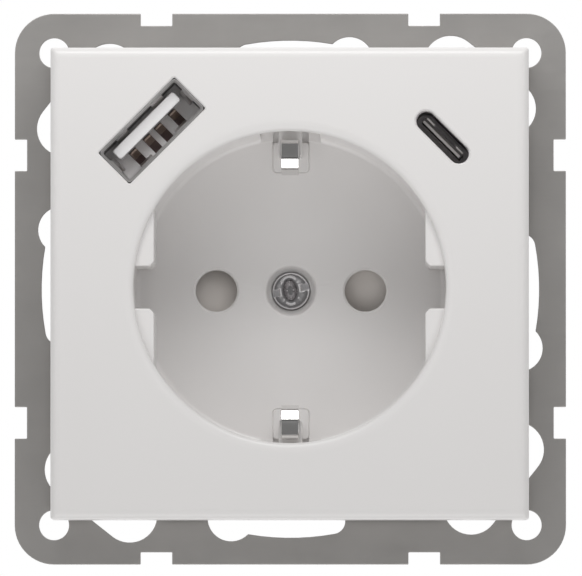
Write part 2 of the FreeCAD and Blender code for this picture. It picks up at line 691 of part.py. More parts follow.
def make_support_plate():
    piece = Piece("support_plate")
    front = -s.plate_sheet
    blank = piece.facing(front)
    blank.rectangle(0, 0, 2 * PLATE_HALF, 2 * PLATE_HALF)
    piece.pad(blank, s.plate_sheet)
    half = float(PLATE_HALF) - TOUCH

    def corner(edge):
        return edge.BoundBox.YLength > float(s.plate_sheet) / 2 and (
            abs(edge.BoundBox.XMin) > half and abs(edge.BoundBox.ZMin) > half
        )
    piece.round_edges(s.plate_corner, corner)
    notches = piece.facing(front)
    along = PLATE_HALF - s.notch_from_corner
    for sign in (1, -1):
        for side in (1, -1):
            edge = side * PLATE_HALF
            notches.rectangle(sign * along, edge, s.notch_width, 2 * s.notch_depth)
            notches.rectangle(edge, sign * along, 2 * s.notch_depth, s.notch_width)
    piece.pocket(notches, s.plate_sheet)
    holes = piece.facing(front)
    corner_place = PLATE_HALF - s.corner_hole_inset
    for x, z in CORNER_SIGNS:
        holes.circle(x * corner_place, z * corner_place, s.corner_hole_radius)
    for place in FIXING_PLACES:
        holes.circle(*place, s.fixing_shank + s.fixing_play)
    piece.pocket(holes, s.plate_sheet)
    opening = piece.facing(front)
    opening.circle(0, 0, PLATE_OPENING)
    piece.pocket(opening, s.plate_sheet)
    slots = piece.facing(front)
    for quarter in QUARTER_TURNS:
        slots.curved_slot(
            BOX_SCREW_CIRCLE,
            s.key_slot_half_width,
            90 - s.key_entry_turn + quarter,
            90 + s.key_slot_end_turn + quarter,
        )
    piece.pocket(slots, s.plate_sheet)
    entries = piece.facing(front)
    for quarter in QUARTER_TURNS:
        entries.circle(
            *polar(BOX_SCREW_CIRCLE, 90 - s.key_entry_turn + quarter), s.key_entry_radius
        )
    piece.pocket(entries, s.plate_sheet)
    oblong = piece.facing(front)
    near = (PLATE_HALF - s.oblong_near_side, PLATE_HALF - s.oblong_near_top)
    far = (PLATE_HALF - s.oblong_far_side, PLATE_HALF - s.oblong_far_top)
    for _ in QUARTER_TURNS:
        oblong.slot(near, far, s.oblong_radius)
        near, far = (-near[1], near[0]), (-far[1], far[0])
    piece.pocket(oblong, s.plate_sheet)
    for port, half_length, height in [
        (PORT_A, s.usb_a_width / 2, s.usb_a_height),
        (PORT_C, s.usb_c_width / 2, s.usb_c_height),
    ]:
        window = port_outline(piece, front, port)
        reach = half_length + s.window_play
        top = height / 2 + s.window_play
        inward = -(LOBE_HALF + 2 * s.lobe_wall)
        window.polygon([(-reach, inward), (reach, inward), (reach, top), (-reach, top)])
        piece.pocket(window, s.plate_sheet)


def make_cover_plate():
    piece = Piece("cover_plate")
    slab = piece.facing(FRONT)
    slab.rectangle(0, s.cover_rise, COVER_WIDTH, COVER_HEIGHT)
    piece.pad(slab, SKIRT)
    piece.round_edges(s.cover_edge, flat_at(FRONT))
    hollow = piece.facing(FRONT + s.cover_wall)
    hollow.rectangle(
        0,
        s.cover_rise,
        COVER_WIDTH - 2 * s.skirt_wall,
        COVER_HEIGHT - 2 * s.skirt_wall,
    )
    piece.pocket(hollow, SKIRT - s.cover_wall)
    tube = piece.facing(FRONT + s.cover_wall / 2)
    tube.circle(0, 0, s.well_radius + s.well_wall)
    piece.pad(tube, s.well_depth + s.floor_wall - s.cover_wall / 2)
    well = piece.facing(FRONT)
    well.circle(0, 0, s.well_radius)
    piece.pocket(well, s.well_depth)
    boss = piece.facing(FLOOR_BACK - s.floor_wall / 2)
    boss.circle(0, 0, BOSS_RADIUS)
    piece.pad(boss, DECK - s.seat_gap - FLOOR_BACK + s.floor_wall / 2)
    well_mm = float(s.well_radius)

    def rim(edge):
        box = edge.BoundBox
        return abs(box.YMax - float(FRONT)) < 1e-4 and abs(box.XMax - well_mm) < 1e-3
    piece.round_edges(s.well_rim, rim)
    ribs = piece.facing(FRONT + s.rib_set_back)
    bite = s.well_radius + s.well_wall / 3
    level = s.guide_groove / 2
    flat = s.well_radius - s.rib_depth
    for x, z in CORNER_SIGNS:
        corners = [
            (x * flat, z * (level + s.rib_chamfer)),
            (x * (flat + s.rib_chamfer), z * level),
            (x * root(bite * bite - level * level), z * level),
            (x * flat, z * root(bite * bite - flat * flat)),
        ]
        rib_outline(ribs, corners, bite, x * z)
    piece.pad(ribs, s.well_depth - s.rib_set_back)
    grooves = piece.facing(FRONT + s.earth_groove_start)
    slots = piece.facing(FLOOR)
    top = s.well_radius + s.earth_groove_depth
    for side in (1, -1):
        upright_box(grooves, s.earth_groove_half, side * (CLIP_ARM - s.strap_sheet), side * top)
        upright_box(slots, s.clip_slot_half, side * (CLIP_ARM - s.clip_slot_room), side * top)
    piece.pocket(grooves, s.well_depth - s.earth_groove_start)
    piece.pocket(slots, s.floor_wall)
    holes = piece.facing(FLOOR)
    holes.circle(s.pin_place, 0, s.pin_hole_radius)
    holes.circle(-s.pin_place, 0, s.pin_hole_radius)
    piece.pocket(holes, s.floor_wall)
    bore = piece.section()
    head = s.screw_head_radius + s.screw_play
    shank = s.screw_shank_radius + s.screw_play
    bore.polygon([
        (0, FLOOR),
        (head + s.screw_mouth_flare, FLOOR),
        (head, FLOOR + s.screw_mouth_depth),
        (head, FLOOR + s.screw_seat_depth),
        (shank, FLOOR + s.screw_seat_depth),
        (shank, DECK),
        (0, DECK),
    ])
    piece.groove(bore)
    window = port_outline(piece, FRONT, PORT_A)
    window.rectangle(
        0,
        0,
        s.usb_a_width + 2 * s.usb_window_play,
        s.usb_a_height + 2 * s.usb_window_play,
    )
    piece.pocket(window, s.cover_wall)
    window = port_outline(piece, FRONT, PORT_C)
    pill(window, s.usb_c_width - 2 * s.usb_c_lip, s.usb_c_height - 2 * s.usb_c_lip)
    piece.pocket(window, s.cover_wall)


def upright_box(outline, half_width, low, high):
    """A rectangle about the upright middle line, between two heights."""
    outline.polygon([(-half_width, low), (half_width, low), (half_width, high), (-half_width, high)])


def rib_outline(outline, corners, radius, sense):
    """Three straight sides and an arc that sinks into the round wall."""
    angles = [math.degrees(math.atan2(float(z), float(x))) for x, z in corners]
    start, end = (angles[2], angles[3]) if sense > 0 else (angles[3], angles[2])
    outline.arc(0, 0, radius, start, end)
    for a, b in [(3, 0), (0, 1), (1, 2)]:
        side = outline.line(corners[a], corners[b])
        outline.hold_point(side, 1, *corners[a])
        outline.hold_point(side, 2, *corners[b])


def make_cover_screw():
    piece = Piece("cover_screw")
    seat = FLOOR + s.screw_seat_depth - s.seat_gap
    top = seat - s.screw_head_height
    tip = BASE_BACK + s.screw_end
    turned = piece.section()
    turned.polygon([
        (0, top),
        (s.head_crown_radius, top + s.head_crown_drop),
        (s.screw_head_radius, seat - s.head_side),
        (s.screw_head_radius, seat),
        (s.screw_shank_radius, seat),
        (s.screw_shank_radius, tip - s.screw_shank_radius / 2),
        (s.screw_shank_radius / 2, tip),
        (0, tip),
    ])
    piece.revolve(turned)
    drive = piece.facing(top - s.drive_depth, turn=s.drive_turn)
    drive.rectangle(0, 0, 2 * s.screw_head_radius + s.drive_width, s.drive_width)
    piece.pocket(drive, 2 * s.drive_depth)
    cross = piece.facing(top - s.cross_depth, turn=s.drive_turn)
    cross.rectangle(0, 0, s.drive_width, s.drive_cross)
    piece.pocket(cross, 2 * s.cross_depth)


def make_usb_carrier():
    piece = Piece("usb_carrier")
    gap = s.seat_gap
    ring = piece.facing(gap)
    ring.circle(0, 0, BASE_RADIUS)
    piece.pad(ring, s.carrier_depth - 2 * gap)
    for port, half in LOBES:
        lobe = port_outline(piece, gap, port)
        lobe.rectangle(0, 0, 2 * (half + s.lobe_wall), 2 * (LOBE_HALF + s.lobe_wall))
        piece.pad(lobe, s.carrier_depth - 2 * gap)
    opening = piece.facing(gap)
    opening.circle(0, 0, PLATE_OPENING)
    piece.pocket(opening, s.carrier_depth)
    tray = piece.facing(gap)
    tray.ring_sector(
        BOARD_INNER - s.board_play,
        BOARD_OUTER + s.board_play,
        s.board_start - s.board_end_play,
        s.board_end + s.board_end_play,
    )
    piece.pocket(tray, BOARD_BACK)
    for port, half in LOBES:
        tray = port_outline(piece, gap, port)
        tray.rectangle(0, 0, 2 * (half + s.board_play), 2 * (LOBE_HALF + s.board_play))
        piece.pocket(tray, BOARD_BACK)
    holes = piece.facing(gap)
    for place in FIXING_PLACES:
        holes.circle(*place, s.fixing_shank + s.fixing_play)
    piece.pocket(holes, s.carrier_depth)
    link = piece.facing(gap)
    link_slot(link)
    piece.pocket(link, s.carrier_depth)


def link_slot(outline):
    """The gap that the link pins pass through."""
    margin = s.pin_radius * 2
    last = s.pin_first + 2 * s.pin_pitch
    outline.slot((s.pin_first, LINK_HEIGHT), (last, LINK_HEIGHT), margin)


def make_usb_board():
    piece = Piece("usb_board")
    ring = piece.facing(s.board_front)
    ring.ring_sector(BOARD_INNER, BOARD_OUTER, s.board_start, s.board_end)
    piece.pad(ring, s.board_sheet)
    for port, half in LOBES:
        lobe = port_outline(piece, s.board_front, port)
        lobe.rectangle(0, 0, 2 * half, 2 * LOBE_HALF)
        piece.pad(lobe, s.board_sheet)
    holes = piece.facing(s.board_front)
    holes.circle(*FIXING_PLACES[1], s.fixing_shank + 2 * s.fixing_play)
    link_holes(holes)
    piece.pocket(holes, s.board_sheet)


def link_holes(outline):
    for step in range(3):
        place = s.pin_first + step * s.pin_pitch
        outline.circle(place, LINK_HEIGHT, s.pin_radius + s.pin_play)


def make_usb_a_port():
    mouth = FRONT + s.usb_a_set_back
    depth = s.board_front - s.seat_gap - mouth
    shell = Piece("usb_a_shell")
    box = shell.facing(mouth)
    box.rectangle(0, 0, s.usb_a_width, s.usb_a_height)
    shell.pad(box, depth)
    inside = shell.facing(mouth)
    inside.rectangle(
        0,
        0,
        s.usb_a_width - 2 * s.usb_sheet,
        s.usb_a_height - 2 * s.usb_sheet,
    )
    shell.pocket(inside, depth - s.usb_sheet)
    set_at_port(shell.body, PORT_A)
    tongue = Piece("usb_a_tongue")
    bar = tongue.facing(mouth + s.usb_tongue_back)
    rise = s.usb_a_height / 2 - s.usb_sheet - s.usb_tongue_gap - s.usb_tongue_height / 2
    width = s.usb_a_width - 2 * s.usb_tongue_side
    bar.rectangle(0, rise, width, s.usb_tongue_height)
    tongue.pad(bar, depth - s.usb_tongue_back - s.usb_sheet - s.seat_gap)
    add_tongue_foot(tongue, mouth + depth - s.usb_sheet - s.seat_gap - s.usb_foot, rise)
    set_at_port(tongue.body, PORT_A)
    under = rise - s.usb_tongue_height / 2 - s.usb_contact_sheet / 2 - s.seat_gap
    start = mouth + s.usb_tongue_back + s.usb_contact_width
    end = s.board_front - s.usb_sheet - 2 * s.seat_gap
    middle = (start + end) / 2
    contacts = []
    crest = (start + s.usb_contact_run, under - s.usb_contact_dip)
    for offset in (s.usb_contact_outer, s.usb_contact_inner):
        for side in (1, -1):
            contact = Piece("usb_a_contact")
            pieces.remove(contact.body)
            strip = contact.side_view(side * offset - s.usb_contact_width / 2)
            strip.ribbon(
                [(start, under - s.usb_contact_tip), crest, (middle, under), (end, under)],
                s.usb_contact_sheet,
                s.usb_contact_bend,
            )
            contact.pad(strip, s.usb_contact_width, reverse=False)
            contacts.append(contact.body)
    set_at_port(group_of("usb_a_contacts", contacts), PORT_A)


def add_tongue_foot(tongue, front, rise):
    """A block behind the tongue, slotted for the four contacts."""
    block = tongue.facing(front)
    room = 2 * (s.usb_sheet + s.usb_foot_play)
    block.rectangle(0, 0, s.usb_a_width - room, s.usb_a_height - room)
    tongue.pad(block, s.usb_foot)
    slot = tongue.facing(front)
    under = rise - s.usb_tongue_height / 2
    high = s.usb_contact_sheet + 2 * s.usb_foot_play
    wide = 2 * s.usb_contact_outer + s.usb_contact_width + 2 * s.usb_foot_play
    slot.rectangle(0, under - high / 2, wide, high)
    tongue.pocket(slot, s.usb_foot)


def make_usb_c_port():
    mouth = FRONT + s.cover_wall + s.usb_window_play
    depth = s.board_front - s.seat_gap - mouth
    shell = Piece("usb_c_shell")
    outside = shell.facing(mouth)
    pill(outside, s.usb_c_width, s.usb_c_height)
    shell.pad(outside, depth)
    inside = shell.facing(mouth)
    pill(inside, s.usb_c_width - 2 * s.usb_sheet, s.usb_c_height - 2 * s.usb_sheet)
    shell.pocket(inside, depth - s.usb_sheet)
    set_at_port(shell.body, PORT_C)
    tongue = Piece("usb_c_tongue")
    bar = tongue.facing(mouth + s.usb_c_tongue_back)
    bar.rectangle(0, 0, s.usb_c_width - 2 * s.usb_c_tongue_side, s.usb_c_tongue_height)
    tongue.pad(bar, depth - s.usb_c_tongue_back - s.usb_sheet - s.seat_gap)
    set_at_port(tongue.body, PORT_C)


def make_socket_base():
    piece = Piece("socket_base")
    section = piece.section()
    inner = BASE_RADIUS - s.base_wall
    section.polygon([
        (s.screw_shank_radius + s.strap_play, DECK),
        (inner, DECK),
        (inner, s.carrier_depth),
        (BASE_RADIUS, s.carrier_depth),
        (BASE_RADIUS, BASE_BACK),
        (s.screw_shank_radius + s.strap_play, BASE_BACK),
    ])
    piece.revolve(section)
    bosses = piece.facing(s.carrier_depth)
    for place in FIXING_PLACES:
        bosses.circle(*place, s.fixing_boss)
    piece.pad(bosses, DECK + s.deck_wall / 2 - s.carrier_depth)
    nuts = piece.facing(DECK - s.fixing_boss)
    for place in PILLAR_PLACES:
        nuts.circle(*place, s.fixing_boss)
    piece.pad(nuts, s.fixing_boss + s.deck_wall / 2)
    threads = piece.facing(s.carrier_depth)
    for place in FIXING_PLACES:
        threads.circle(*place, s.fixing_shank + s.fixing_bite)
    piece.pocket(threads, s.fixing_grip + s.cut_room)
    holes = piece.facing(DECK - s.fixing_boss)
    for place in PILLAR_PLACES:
        holes.circle(*place, s.fixing_shank + s.fixing_bite)
    for side in (1, -1):
        holes.circle(side * s.pin_place, 0, s.pin_hole_radius + s.deck_hole_play)
    piece.pocket(holes, s.fixing_boss + s.deck_wall)
    blade = piece.facing(DECK)
    blade.rectangle(
        0,
        EARTH_TERMINAL_Z + s.bar_rise + s.contact_sheet / 2,
        s.strap_width + 2 * s.strap_play,
        s.contact_sheet + 2 * s.strap_play,
    )
    piece.pocket(blade, s.deck_wall)
    link = piece.facing(DECK)
    link_slot(link)
    piece.pocket(link, s.deck_wall)
    add_clip_pedestals(piece)


def add_clip_pedestals(piece):
    """Two blocks that fill the clip slots of the floor, each pierced for the arm of its clip."""
    front = FLOOR + s.pedestal_sink
    blocks = piece.facing(front)
    ways = piece.facing(front)
    low = CLIP_ARM - s.clip_slot_room + s.pedestal_play
    high = s.well_radius + s.earth_groove_depth - s.pedestal_play
    arm_low = CLIP_ARM - s.clip_sheet / 2 - s.arm_play
    arm_high = CLIP_ARM + s.clip_sheet / 2 + s.arm_play
    for side in (1, -1):
        upright_box(blocks, s.clip_slot_half - s.pedestal_play, side * low, side * high)
        upright_box(ways, s.clip_width / 2 + s.arm_play, side * arm_low, side * arm_high)
    piece.pad(blocks, DECK + s.deck_wall / 2 - front)
    piece.pocket(ways, DECK - front)
    channel = piece.facing(DECK)
    reach = CLIP_ARM + s.strap_sheet
    channel.rectangle(0, 0, s.strap_width + 2 * s.strap_play, 2 * reach)
    piece.pocket(channel, s.strap_sheet + s.seat_gap)


def make_earth_strap():
    piece = Piece("earth_strap")
    web_depth = DECK + s.strap_sheet / 2
    crest = FRONT + s.clip_set_back
    web = piece.facing(DECK)
    web.rectangle(0, 0, s.strap_width, 2 * (CLIP_ARM - s.strap_bend))
    piece.pad(web, s.strap_sheet)
    for side in (1, -1):
        clip = piece.side_view(-s.clip_width / 2)
        clip.ribbon(
            [
                (web_depth, side * (CLIP_ARM - 2 * s.strap_bend)),
                (web_depth, side * CLIP_ARM),
                (crest + s.clip_crest_run, side * CLIP_ARM),
                (crest, side * (CLIP_ARM - s.clip_shoulder_in)),
                (FRONT + s.clip_brow_depth, side * (CLIP_ARM - s.clip_brow_in)),
                (FRONT + s.clip_nose_depth, side * (CLIP_ARM - s.clip_nose_in)),
                (FRONT + s.clip_tail_depth, side * (CLIP_ARM - s.clip_tail_in)),
            ],
            s.clip_sheet,
            s.strap_bend,
        )
        piece.pad(clip, s.clip_width, reverse=False)
    blade = piece.facing(DECK)
    blade.rectangle(
        0,
        EARTH_TERMINAL_Z + s.bar_rise + s.contact_sheet / 2,
        s.strap_width,
        s.contact_sheet,
    )
    piece.pad(blade, BAR_BACK - DECK)
    hole = piece.facing(DECK)
    hole.circle(0, 0, s.screw_shank_radius + s.thread_play)
    piece.pocket(hole, s.strap_sheet)


def make_shutter():
    piece = Piece("shutter")
    hub = piece.facing(SHUTTER_FRONT)
    hub.circle(0, 0, HUB_RADIUS)
    piece.pad(hub, s.shutter_plate)
    wings = piece.facing(SHUTTER_FRONT)
    reach = s.pin_place + s.shutter_reach
    high = s.pin_hole_radius + s.shutter_cover
    wings.rectangle(0, 0, 2 * reach, 2 * high)
    piece.pad(wings, s.shutter_plate)
    for side in (1, -1):
        start = HUB_RADIUS if side > 0 else -(reach + s.cut_room)
        ramp = piece.side_view(start)
        lower, upper = side * high, -side * high
        ramp.polygon([
            (SHUTTER_FRONT, lower),
            (SHUTTER_FRONT + s.shutter_ramp, upper),
            (SHUTTER_FRONT - s.cut_room, upper),
            (SHUTTER_FRONT - s.cut_room, lower),
        ])
        piece.pocket(ramp, reach - HUB_RADIUS + s.cut_room, reverse=True)
    post = piece.facing(SHUTTER_BACK - s.shutter_plate / 2)
    post.circle(HUB_RADIUS - s.shutter_post_radius, s.shutter_post_rise, s.shutter_post_radius)
    piece.pad(post, s.shutter_plate / 2 + 2 * s.shutter_wire)
    bore = piece.facing(SHUTTER_FRONT)
    bore.circle(0, 0, HUB_BORE)
    piece.pocket(bore, s.shutter_plate)


def make_shutter_spring():
    """One open turn of wire behind the shutter."""
    depth = float(SHUTTER_BACK + s.shutter_wire + s.seat_gap)
    radius = HUB_BORE + s.coil_room
    x, z = (float(place) for place in polar(radius, s.spring_opening))
    first = FreeCAD.Vector(x, depth, z)
    last = FreeCAD.Vector(x, depth, -z)
    far = FreeCAD.Vector(-float(radius), depth, 0)
    path = Part.Wire([Part.Arc(first, far, last).toShape()])
    wire = Part.makeCircle(float(s.shutter_wire), first, FreeCAD.Vector(-z, 0, x))
    spring = document.addObject("Part::Feature", "shutter_spring")
    spring.Label = "shutter_spring"
    spring.Shape = path.makePipeShell([Part.Wire([wire])], True, False)
    pieces.append(spring)


def make_line_contact(name, side):
    """A split sleeve for a pin, with a strip down to its terminal bar."""
    piece = Piece(name)
    centre = side * s.pin_place
    outer = s.contact_radius + s.contact_sheet
    sleeve = piece.facing(CONTACT_FRONT)
    sleeve.circle(centre, 0, outer)
    piece.pad(sleeve, s.contact_length)
    strip = piece.facing(BAR_FRONT - s.contact_sheet)
    drop = TERMINAL_Z + s.bar_rise
    low = drop + s.contact_sheet
    edge = side * (s.pin_place + s.contact_sheet / 2)
    inner = side * (s.pin_place - s.contact_sheet / 2)
    top = -(s.contact_radius + s.contact_sheet / 2)
    strip.polygon([(inner, low), (edge, low), (edge, top), (inner, top)])
    piece.pad(strip, s.contact_length + s.contact_sheet - s.bar_set_back)
    bore = piece.facing(CONTACT_FRONT)
    bore.circle(centre, 0, s.contact_radius)
    piece.pocket(bore, s.contact_length)
    split = piece.facing(CONTACT_FRONT)
    split.rectangle(centre, outer / 2 + s.contact_radius / 2, s.contact_split, outer)
    piece.pocket(split, s.contact_length)
    bar = piece.facing(BAR_FRONT - s.contact_sheet)
    start_x = side * (s.pin_place - s.contact_sheet / 2)
    end_x = side * (TERMINAL_X + s.bar_width / 2)
    bar.polygon([(start_x, drop), (end_x, drop), (end_x, low), (start_x, low)])
    piece.pad(bar, s.bar_length + s.contact_sheet)


TERMINALS = [
    ("left", -TERMINAL_X, TERMINAL_Z),
    ("right", TERMINAL_X, TERMINAL_Z),
    ("earth", 0, EARTH_TERMINAL_Z),
]


def make_clamp_spring(name, x, z):
    """A folded leaf that presses the bare wire against the bar above it."""
    piece = Piece(f"{name}_clamp_spring")
    leaf = piece.side_view(x - s.spring_width / 2)
    button_top = z - s.button_drop + s.button_height / 2
    floor = z - s.button_drop - s.button_height / 2 - s.button_collar
    fold = BAR_FRONT + s.spring_front
    leaf.ribbon(
        [
            (BUTTON_FRONT + s.spring_foot, floor),
            (fold, floor),
            (fold, button_top - s.spring_knee),
            (BUTTON_FRONT + s.spring_front, button_top + s.spring_lip),
        ],
        s.spring_sheet,
        s.spring_bend,
    )
    piece.pad(leaf, s.spring_width, reverse=False)


def make_release_button(name, x, z):
    piece = Piece(f"{name}_release_button")
    middle = z - s.button_drop
    body = piece.facing(BUTTON_FRONT)
    body.rectangle(x, middle, s.button_width, s.button_height)
    piece.pad(body, HOUSING_BACK + s.button_proud - BUTTON_FRONT)
    collar = piece.facing(HOUSING_INSIDE - s.button_play - 2 * s.button_collar)
    collar.rectangle(
        x, middle, s.button_width + 2 * s.button_collar, s.button_height + s.button_collar
    )
    piece.pad(collar, 2 * s.button_collar)
    slot = piece.facing(HOUSING_BACK + s.button_proud - s.button_slot)
    slot.rectangle(x, middle, s.button_width + s.cut_room, s.button_slot)
    piece.pocket(slot, s.button_slot)


def make_rear_housing():
    piece = Piece("rear_housing")
    drum = piece.facing(HOUSING_FRONT)
    drum.circle(0, 0, HOUSING_RADIUS)
    piece.pad(drum, HOUSING_BACK - HOUSING_FRONT)
    piece.round_edges(s.housing_edge, flat_at(HOUSING_BACK))
    flange = piece.facing(HOUSING_FRONT)
    flange.circle(0, 0, BASE_RADIUS)
    piece.pad(flange, s.housing_flange)
    inside = piece.facing(HOUSING_FRONT)
    inside.circle(0, 0, HOUSING_BORE)
    piece.pocket(inside, HOUSING_INSIDE - HOUSING_FRONT)
    pillars = piece.facing(HOUSING_FRONT)
    holes = piece.facing(HOUSING_FRONT)
    for place in PILLAR_PLACES:
        pillars.circle(*place, s.fixing_boss)
        holes.circle(*place, s.fixing_shank + s.fixing_play)
    piece.pad(pillars, HOUSING_INSIDE + s.housing_wall / 2 - HOUSING_FRONT)
    piece.pocket(holes, HOUSING_BACK - HOUSING_FRONT)
    wires = piece.facing(HOUSING_INSIDE)
    openings = piece.facing(HOUSING_INSIDE)
    for _, x, z in TERMINALS:
        for side in (1, -1):
            level = z + s.bar_rise - s.wire_hole_radius
            wires.circle(x + side * s.wire_hole_place, level, s.wire_hole_radius)
        openings.rectangle(
            x,
            z - s.button_drop,
            s.button_width + 2 * s.button_play,
            s.button_height + 2 * s.button_play,
        )
    piece.pocket(wires, s.housing_wall)
    mouth_width = 2 * float(s.wire_hole_radius)

    def wire_mouth(edge):
        return flat_at(HOUSING_BACK)(edge) and abs(edge.BoundBox.XLength - mouth_width) < TOUCH
    piece.round_edges(s.wire_mouth, wire_mouth, "Chamfer")
    piece.pocket(openings, s.housing_wall)


def make_power_supply():
    board = Piece("power_board")
    moon = board.facing(POWER_FRONT)
    level = s.power_low
    radius = POWER_RADIUS
    half = root(radius * radius - level * level)
    start = math.degrees(math.atan2(float(level), float(half)))
    edge = moon.arc(0, 0, radius, start, 180 - start)
    chord = moon.line((-half, level), (half, level))
    moon.join(chord, 2, edge, 1)
    moon.join(edge, 2, chord, 1)
    board.pad(moon, s.board_sheet)
    holes = board.facing(POWER_FRONT)
    link_holes(holes)
    board.pocket(holes, s.board_sheet)

    stand = POWER_BACK + s.seat_gap
    core = Piece("transformer_core")
    frame = core.outline("XY_Plane", s.core_z - s.core_height / 2)
    middle_y = stand + s.core_depth / 2
    frame.rectangle(s.core_x, middle_y, s.core_width, s.core_depth)
    core.pad(frame, s.core_height, reverse=False)
    windows = core.outline("XY_Plane", s.core_z + s.core_height / 2)
    window_width = s.core_width / 2 - s.core_yoke - s.core_leg / 2
    for side in (1, -1):
        windows.rectangle(
            s.core_x + side * (s.core_leg + window_width) / 2,
            middle_y,
            window_width,
            s.core_depth - 2 * s.core_yoke,
        )
    core.pocket(windows, s.core_height)

    winding = Piece("transformer_winding")
    start_y = stand + s.core_yoke + s.coil_play
    ring = winding.facing(start_y)
    ring.rectangle(
        s.core_x,
        s.core_z,
        s.core_leg + 2 * window_width - 2 * s.coil_play,
        s.coil_height,
    )
    winding.pad(ring, s.core_depth - 2 * s.core_yoke - 2 * s.coil_play)
    leg = winding.facing(start_y)
    leg.rectangle(
        s.core_x,
        s.core_z,
        s.core_leg + 2 * s.coil_play,
        s.core_height + 2 * s.coil_play,
    )
    winding.pocket(leg, s.core_depth - 2 * s.core_yoke - 2 * s.coil_play)

    can = Piece("bulk_capacitor")
    round_can = can.facing(stand)
    round_can.circle(s.can_x, s.can_z, s.can_radius)
    can_end = HOUSING_INSIDE - s.can_room
    can.pad(round_can, can_end - stand)
    can.round_edges(s.can_rim, flat_at(can_end))

    fuse = document.addObject("Part::Cylinder", "line_fuse")
    fuse.Label = "line_fuse"
    bind(fuse, "Radius", s.fuse_radius)
    bind(fuse, "Height", s.fuse_length)
    fuse.Placement.Rotation = FreeCAD.Rotation(FreeCAD.Vector(0, 1, 0), 90)
    bind(fuse, ".Placement.Base.x", s.fuse_x - s.fuse_length / 2)
    bind(fuse, ".Placement.Base.y", stand + s.fuse_radius)
    bind(fuse, ".Placement.Base.z", s.fuse_z)
    pieces.append(fuse)


def standing_cylinder(name, x, z, start, length, radius):
    """A round bar along the depth of the socket."""
    bar = document.addObject("Part::Cylinder", name)
    bind(bar, "Radius", radius)
    bind(bar, "Height", length)
    bar.Placement.Rotation = FreeCAD.Rotation(FreeCAD.Vector(1, 0, 0), -90)
    bind(bar, ".Placement.Base.x", x)
    bind(bar, ".Placement.Base.y", start)
    bind(bar, ".Placement.Base.z", z)
    return bar


def make_board_link():
    start = s.board_front
    length = POWER_BACK - start
    group_of("board_link", [
        standing_cylinder(
            "link_pin", s.pin_first + step * s.pin_pitch, LINK_HEIGHT, start, length, s.pin_radius
        )
        for step in range(3)
    ])


def screw(name, x, z, seat, length, into_wall):
    """A pan head and a shank; into_wall is 1 from the room and -1 from behind."""
    if into_wall > 0:
        head_start, shank_start = seat - s.fixing_head_height, seat
    else:
        head_start, shank_start = seat, seat - length
    head = standing_cylinder(f"{name}_head", x, z, head_start, s.fixing_head_height, s.fixing_head)
    shank = standing_cylinder(f"{name}_shank", x, z, shank_start, length, s.fixing_shank)
    made = document.addObject("Part::Fuse", name)
    made.Base = head
    made.Tool = shank
    return made


def make_screws():
    seat = -s.plate_sheet - s.seat_gap
    length = s.carrier_depth + s.fixing_grip - seat
    group_of("plate_screws", [
        screw("plate_screw", *place, seat, length, 1) for place in FIXING_PLACES
    ])
    seat = HOUSING_BACK + s.seat_gap
    length = seat + s.fixing_boss - DECK
    group_of("housing_screws", [
        screw("housing_screw", *place, seat, length, -1) for place in PILLAR_PLACES
    ])


make_support_plate()
make_cover_plate()
make_cover_screw()
make_usb_carrier()
make_usb_board()
make_usb_a_port()
make_usb_c_port()
make_socket_base()
make_earth_strap()
make_shutter()
make_shutter_spring()
make_line_contact("left_contact", -1)
make_line_contact("right_contact", 1)
for terminal in TERMINALS:
    make_clamp_spring(*terminal)
    make_release_button(*terminal)
make_rear_housing()
make_power_supply()
make_board_link()
make_screws()
document.recompute()

for item in document.Objects:
    if "Invalid" in item.State or "Error" in item.State:
        raise RuntimeError(f"{item.Label} failed: {item.State}")
os.makedirs("parts", exist_ok=True)
for piece in pieces:
    if piece.Shape.isNull() or not piece.Shape.isValid() or not piece.Shape.Solids:
        raise RuntimeError(f"{piece.Label} has no sound shape")
    piece.Shape.exportStep(f"parts/{piece.Label}.step")
    print(piece.Label, len(piece.Shape.Solids), round(piece.Shape.Volume, 1))
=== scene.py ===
import json
import math

import bmesh
import bpy
from mathutils import Matrix, Vector


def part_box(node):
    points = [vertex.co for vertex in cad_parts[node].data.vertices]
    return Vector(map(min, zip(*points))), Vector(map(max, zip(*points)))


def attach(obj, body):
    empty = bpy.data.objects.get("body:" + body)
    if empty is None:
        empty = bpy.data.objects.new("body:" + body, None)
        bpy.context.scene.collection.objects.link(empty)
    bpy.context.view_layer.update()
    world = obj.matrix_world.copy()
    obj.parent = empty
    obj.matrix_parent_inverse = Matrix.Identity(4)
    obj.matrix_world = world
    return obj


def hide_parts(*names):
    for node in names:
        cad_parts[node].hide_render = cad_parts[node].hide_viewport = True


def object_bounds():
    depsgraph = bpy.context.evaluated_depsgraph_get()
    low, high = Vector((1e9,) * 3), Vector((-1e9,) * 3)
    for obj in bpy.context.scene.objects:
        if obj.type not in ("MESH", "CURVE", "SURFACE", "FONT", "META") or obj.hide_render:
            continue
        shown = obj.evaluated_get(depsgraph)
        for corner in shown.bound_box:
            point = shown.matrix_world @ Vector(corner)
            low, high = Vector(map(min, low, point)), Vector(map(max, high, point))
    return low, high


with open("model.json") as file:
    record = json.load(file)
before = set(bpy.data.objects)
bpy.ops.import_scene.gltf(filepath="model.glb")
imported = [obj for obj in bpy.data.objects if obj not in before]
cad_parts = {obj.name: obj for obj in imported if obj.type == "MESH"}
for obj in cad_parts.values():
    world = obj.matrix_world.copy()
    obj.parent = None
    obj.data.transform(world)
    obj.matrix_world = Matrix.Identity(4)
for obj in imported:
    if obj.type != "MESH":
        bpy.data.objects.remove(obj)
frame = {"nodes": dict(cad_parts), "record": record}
cad_low, cad_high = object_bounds()
nodes = frame["nodes"]
MM = 0.001

# Sizes in millimetres, as on the construction: x right, y into the wall, z up.
cover_low, cover_high = (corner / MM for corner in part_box("cover_plate"))

